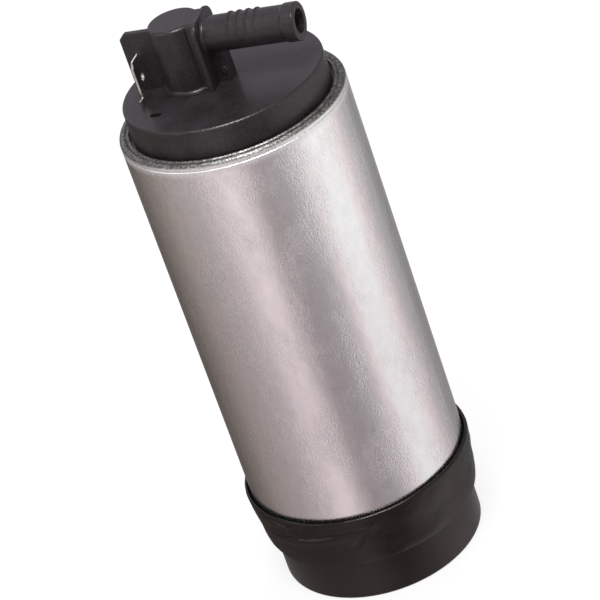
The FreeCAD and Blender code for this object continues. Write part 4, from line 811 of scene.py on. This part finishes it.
class PUMP_OT_make_sleeve(bpy.types.Operator):
    """Makes the creased rubber sleeve at the can's foot"""
    bl_idname = "pump.make_sleeve"
    bl_label = "Make the rubber sleeve"

    def execute(self, context):
        make_sleeve(context.scene.pump_sleeve, rubber_finish(context.scene.pump_finish))
        return {"FINISHED"}


class PUMP_OT_dress_cup(bpy.types.Operator):
    """Gives the inlet cup and its screen their plastics"""
    bl_idname = "pump.dress_cup"
    bl_label = "Dress the inlet cup"

    def execute(self, context):
        colour = tuple(context.scene.pump_finish.rubber_colour)
        black = moulded_finish(
            "cup_black_plastic", colour, roughness=0.36, dust=0.15, Sheen_Weight=0.16,
            Sheen_Roughness=0.35, Specular_IOR_Level=0.44, Specular_Tint=WARM_GLOSS, Coat_Weight=0.0,
        )
        dress("inlet_cup", black)
        dress("inlet_screen", moulded_finish("screen_plastic", (0.55, 0.53, 0.47), roughness=0.5))
        return {"FINISHED"}


class PUMP_OT_make_springs(bpy.types.Operator):
    """Makes the springs of the valves and brushes"""
    bl_idname = "pump.make_springs"
    bl_label = "Make the springs"

    def execute(self, context):
        wire = metal_finish("spring_wire", (0.58, 0.57, 0.55), 0.25, width=0.1 * MM)
        for node_name, moving_body in SPRINGS.items():
            make_spring(node_name, wire)
        return {"FINISHED"}


class PUMP_OT_dress_inside(bpy.types.Operator):
    """Gives the motor, the pump stage and the valves their finishes"""
    bl_idname = "pump.dress_inside"
    bl_label = "Dress the inside"

    def execute(self, context):
        steel = metal_finish("plated_steel", (0.5, 0.5, 0.51), 0.35)
        ground = metal_finish("ground_steel", (0.66, 0.66, 0.67), 0.18, stretch=(1, 1, 8))
        wire = metal_finish("clip_wire", (0.58, 0.57, 0.55), 0.25, width=0.1 * MM)
        cast = metal_finish("machined_casting", (0.62, 0.62, 0.63), 0.36, width=0.5 * MM)
        bronze = metal_finish("sintered_bronze", (0.5, 0.31, 0.13), 0.45, width=0.15 * MM)
        copper = metal_finish("turned_copper", (0.78, 0.36, 0.2), 0.22, width=0.2 * MM)
        brass = metal_finish("turned_brass", (0.75, 0.55, 0.22), 0.25, width=0.2 * MM, stretch=(1, 1, 6))
        ferrite = pressed_finish("sintered_ferrite", (0.045, 0.045, 0.05))
        carbon = pressed_finish("pressed_carbon", (0.03, 0.029, 0.028))
        wound = wound_finish()
        black = moulded_finish("holder_plastic", (0.05, 0.05, 0.052))
        amber = moulded_finish("insulator_plastic", (0.42, 0.33, 0.14), roughness=0.5)
        brown = moulded_finish("phenolic_plastic", (0.14, 0.07, 0.035), roughness=0.5)
        natural = moulded_finish("natural_plastic", (0.6, 0.56, 0.45), roughness=0.4)
        seal = moulded_finish("seal_rubber", (0.02, 0.02, 0.02), roughness=0.55, dust=0.1)
        for material, names in (
            (steel, ("flux_ring", "armature_core")),
            (ground, ("motor_shaft", "thrust_button", "relief_valve_ball")),
            (wire, ("magnet_clip_front", "magnet_clip_back")),
            (cast, ("pump_cover", "pump_casing")),
            (bronze, ("upper_bush", "lower_bush")),
            (copper, ("commutator_segments",)),
            (brass, ("check_valve_seat", "relief_valve_seat")),
            (ferrite, ("magnet_left", "magnet_right", "choke_core_positive", "choke_core_negative")),
            (carbon, ("brush_positive", "brush_negative")),
            (wound, ("armature_winding", "choke_winding_positive", "choke_winding_negative")),
            (black, ("brush_holder",)),
            (amber, ("insulator_lower", "insulator_upper")),
            (brown, ("commutator_base", "impeller")),
            (natural, ("check_valve_poppet",)),
            (seal, ("cap_seal_ring", "check_valve_washer")),
        ):
            for name in names:
                dress(name, material)
        return {"FINISHED"}


class PUMP_OT_set_stage(bpy.types.Operator):
    """Sets the pale floor, the soft studio light and the camera"""
    bl_idname = "pump.set_stage"
    bl_label = "Set the studio"

    def execute(self, context):
        scene = context.scene
        scene.view_settings.view_transform = "Standard"
        set_world(scene)
        make_floor()
        for lamp in LAMPS:
            add_lamp(*lamp)
        make_camera(scene.pump_studio)
        return {"FINISHED"}


class PUMP_PT_panel(bpy.types.Panel):
    """Shows the pump's settings and operators in the sidebar"""
    bl_label = "Fuel pump"
    bl_idname = "PUMP_PT_panel"
    bl_space_type = "VIEW_3D"
    bl_region_type = "UI"
    bl_category = "Pump"

    def draw(self, context):
        layout = self.layout
        for settings in (context.scene.pump_sleeve, context.scene.pump_finish, context.scene.pump_studio):
            box = layout.box()
            for name in settings.__annotations__:
                box.prop(settings, name)
        for operator in OPERATORS:
            layout.operator(operator.bl_idname)


OPERATORS = (
    PUMP_OT_dress_can,
    PUMP_OT_dress_cap,
    PUMP_OT_dress_blades,
    PUMP_OT_make_sleeve,
    PUMP_OT_dress_cup,
    PUMP_OT_make_springs,
    PUMP_OT_dress_inside,
    PUMP_OT_set_stage,
)
SETTINGS = {
    "pump_sleeve": PumpSleeveSettings,
    "pump_finish": PumpFinishSettings,
    "pump_studio": PumpStudioSettings,
}


def register():
    for name, group in SETTINGS.items():
        bpy.utils.register_class(group)
        setattr(bpy.types.Scene, name, bpy.props.PointerProperty(type=group))
    for item in OPERATORS + (PUMP_PT_panel,):
        bpy.utils.register_class(item)


def unregister():
    for item in reversed(OPERATORS + (PUMP_PT_panel,)):
        bpy.utils.unregister_class(item)
    for name, group in SETTINGS.items():
        delattr(bpy.types.Scene, name)
        bpy.utils.unregister_class(group)


def main():
    register()
    bpy.ops.pump.dress_can()
    bpy.ops.pump.dress_cap()
    bpy.ops.pump.dress_blades()
    bpy.ops.pump.make_sleeve()
    bpy.ops.pump.dress_cup()
    bpy.ops.pump.make_springs()
    bpy.ops.pump.dress_inside()
    bpy.ops.pump.set_stage()


if __name__ == "__main__":
    main()
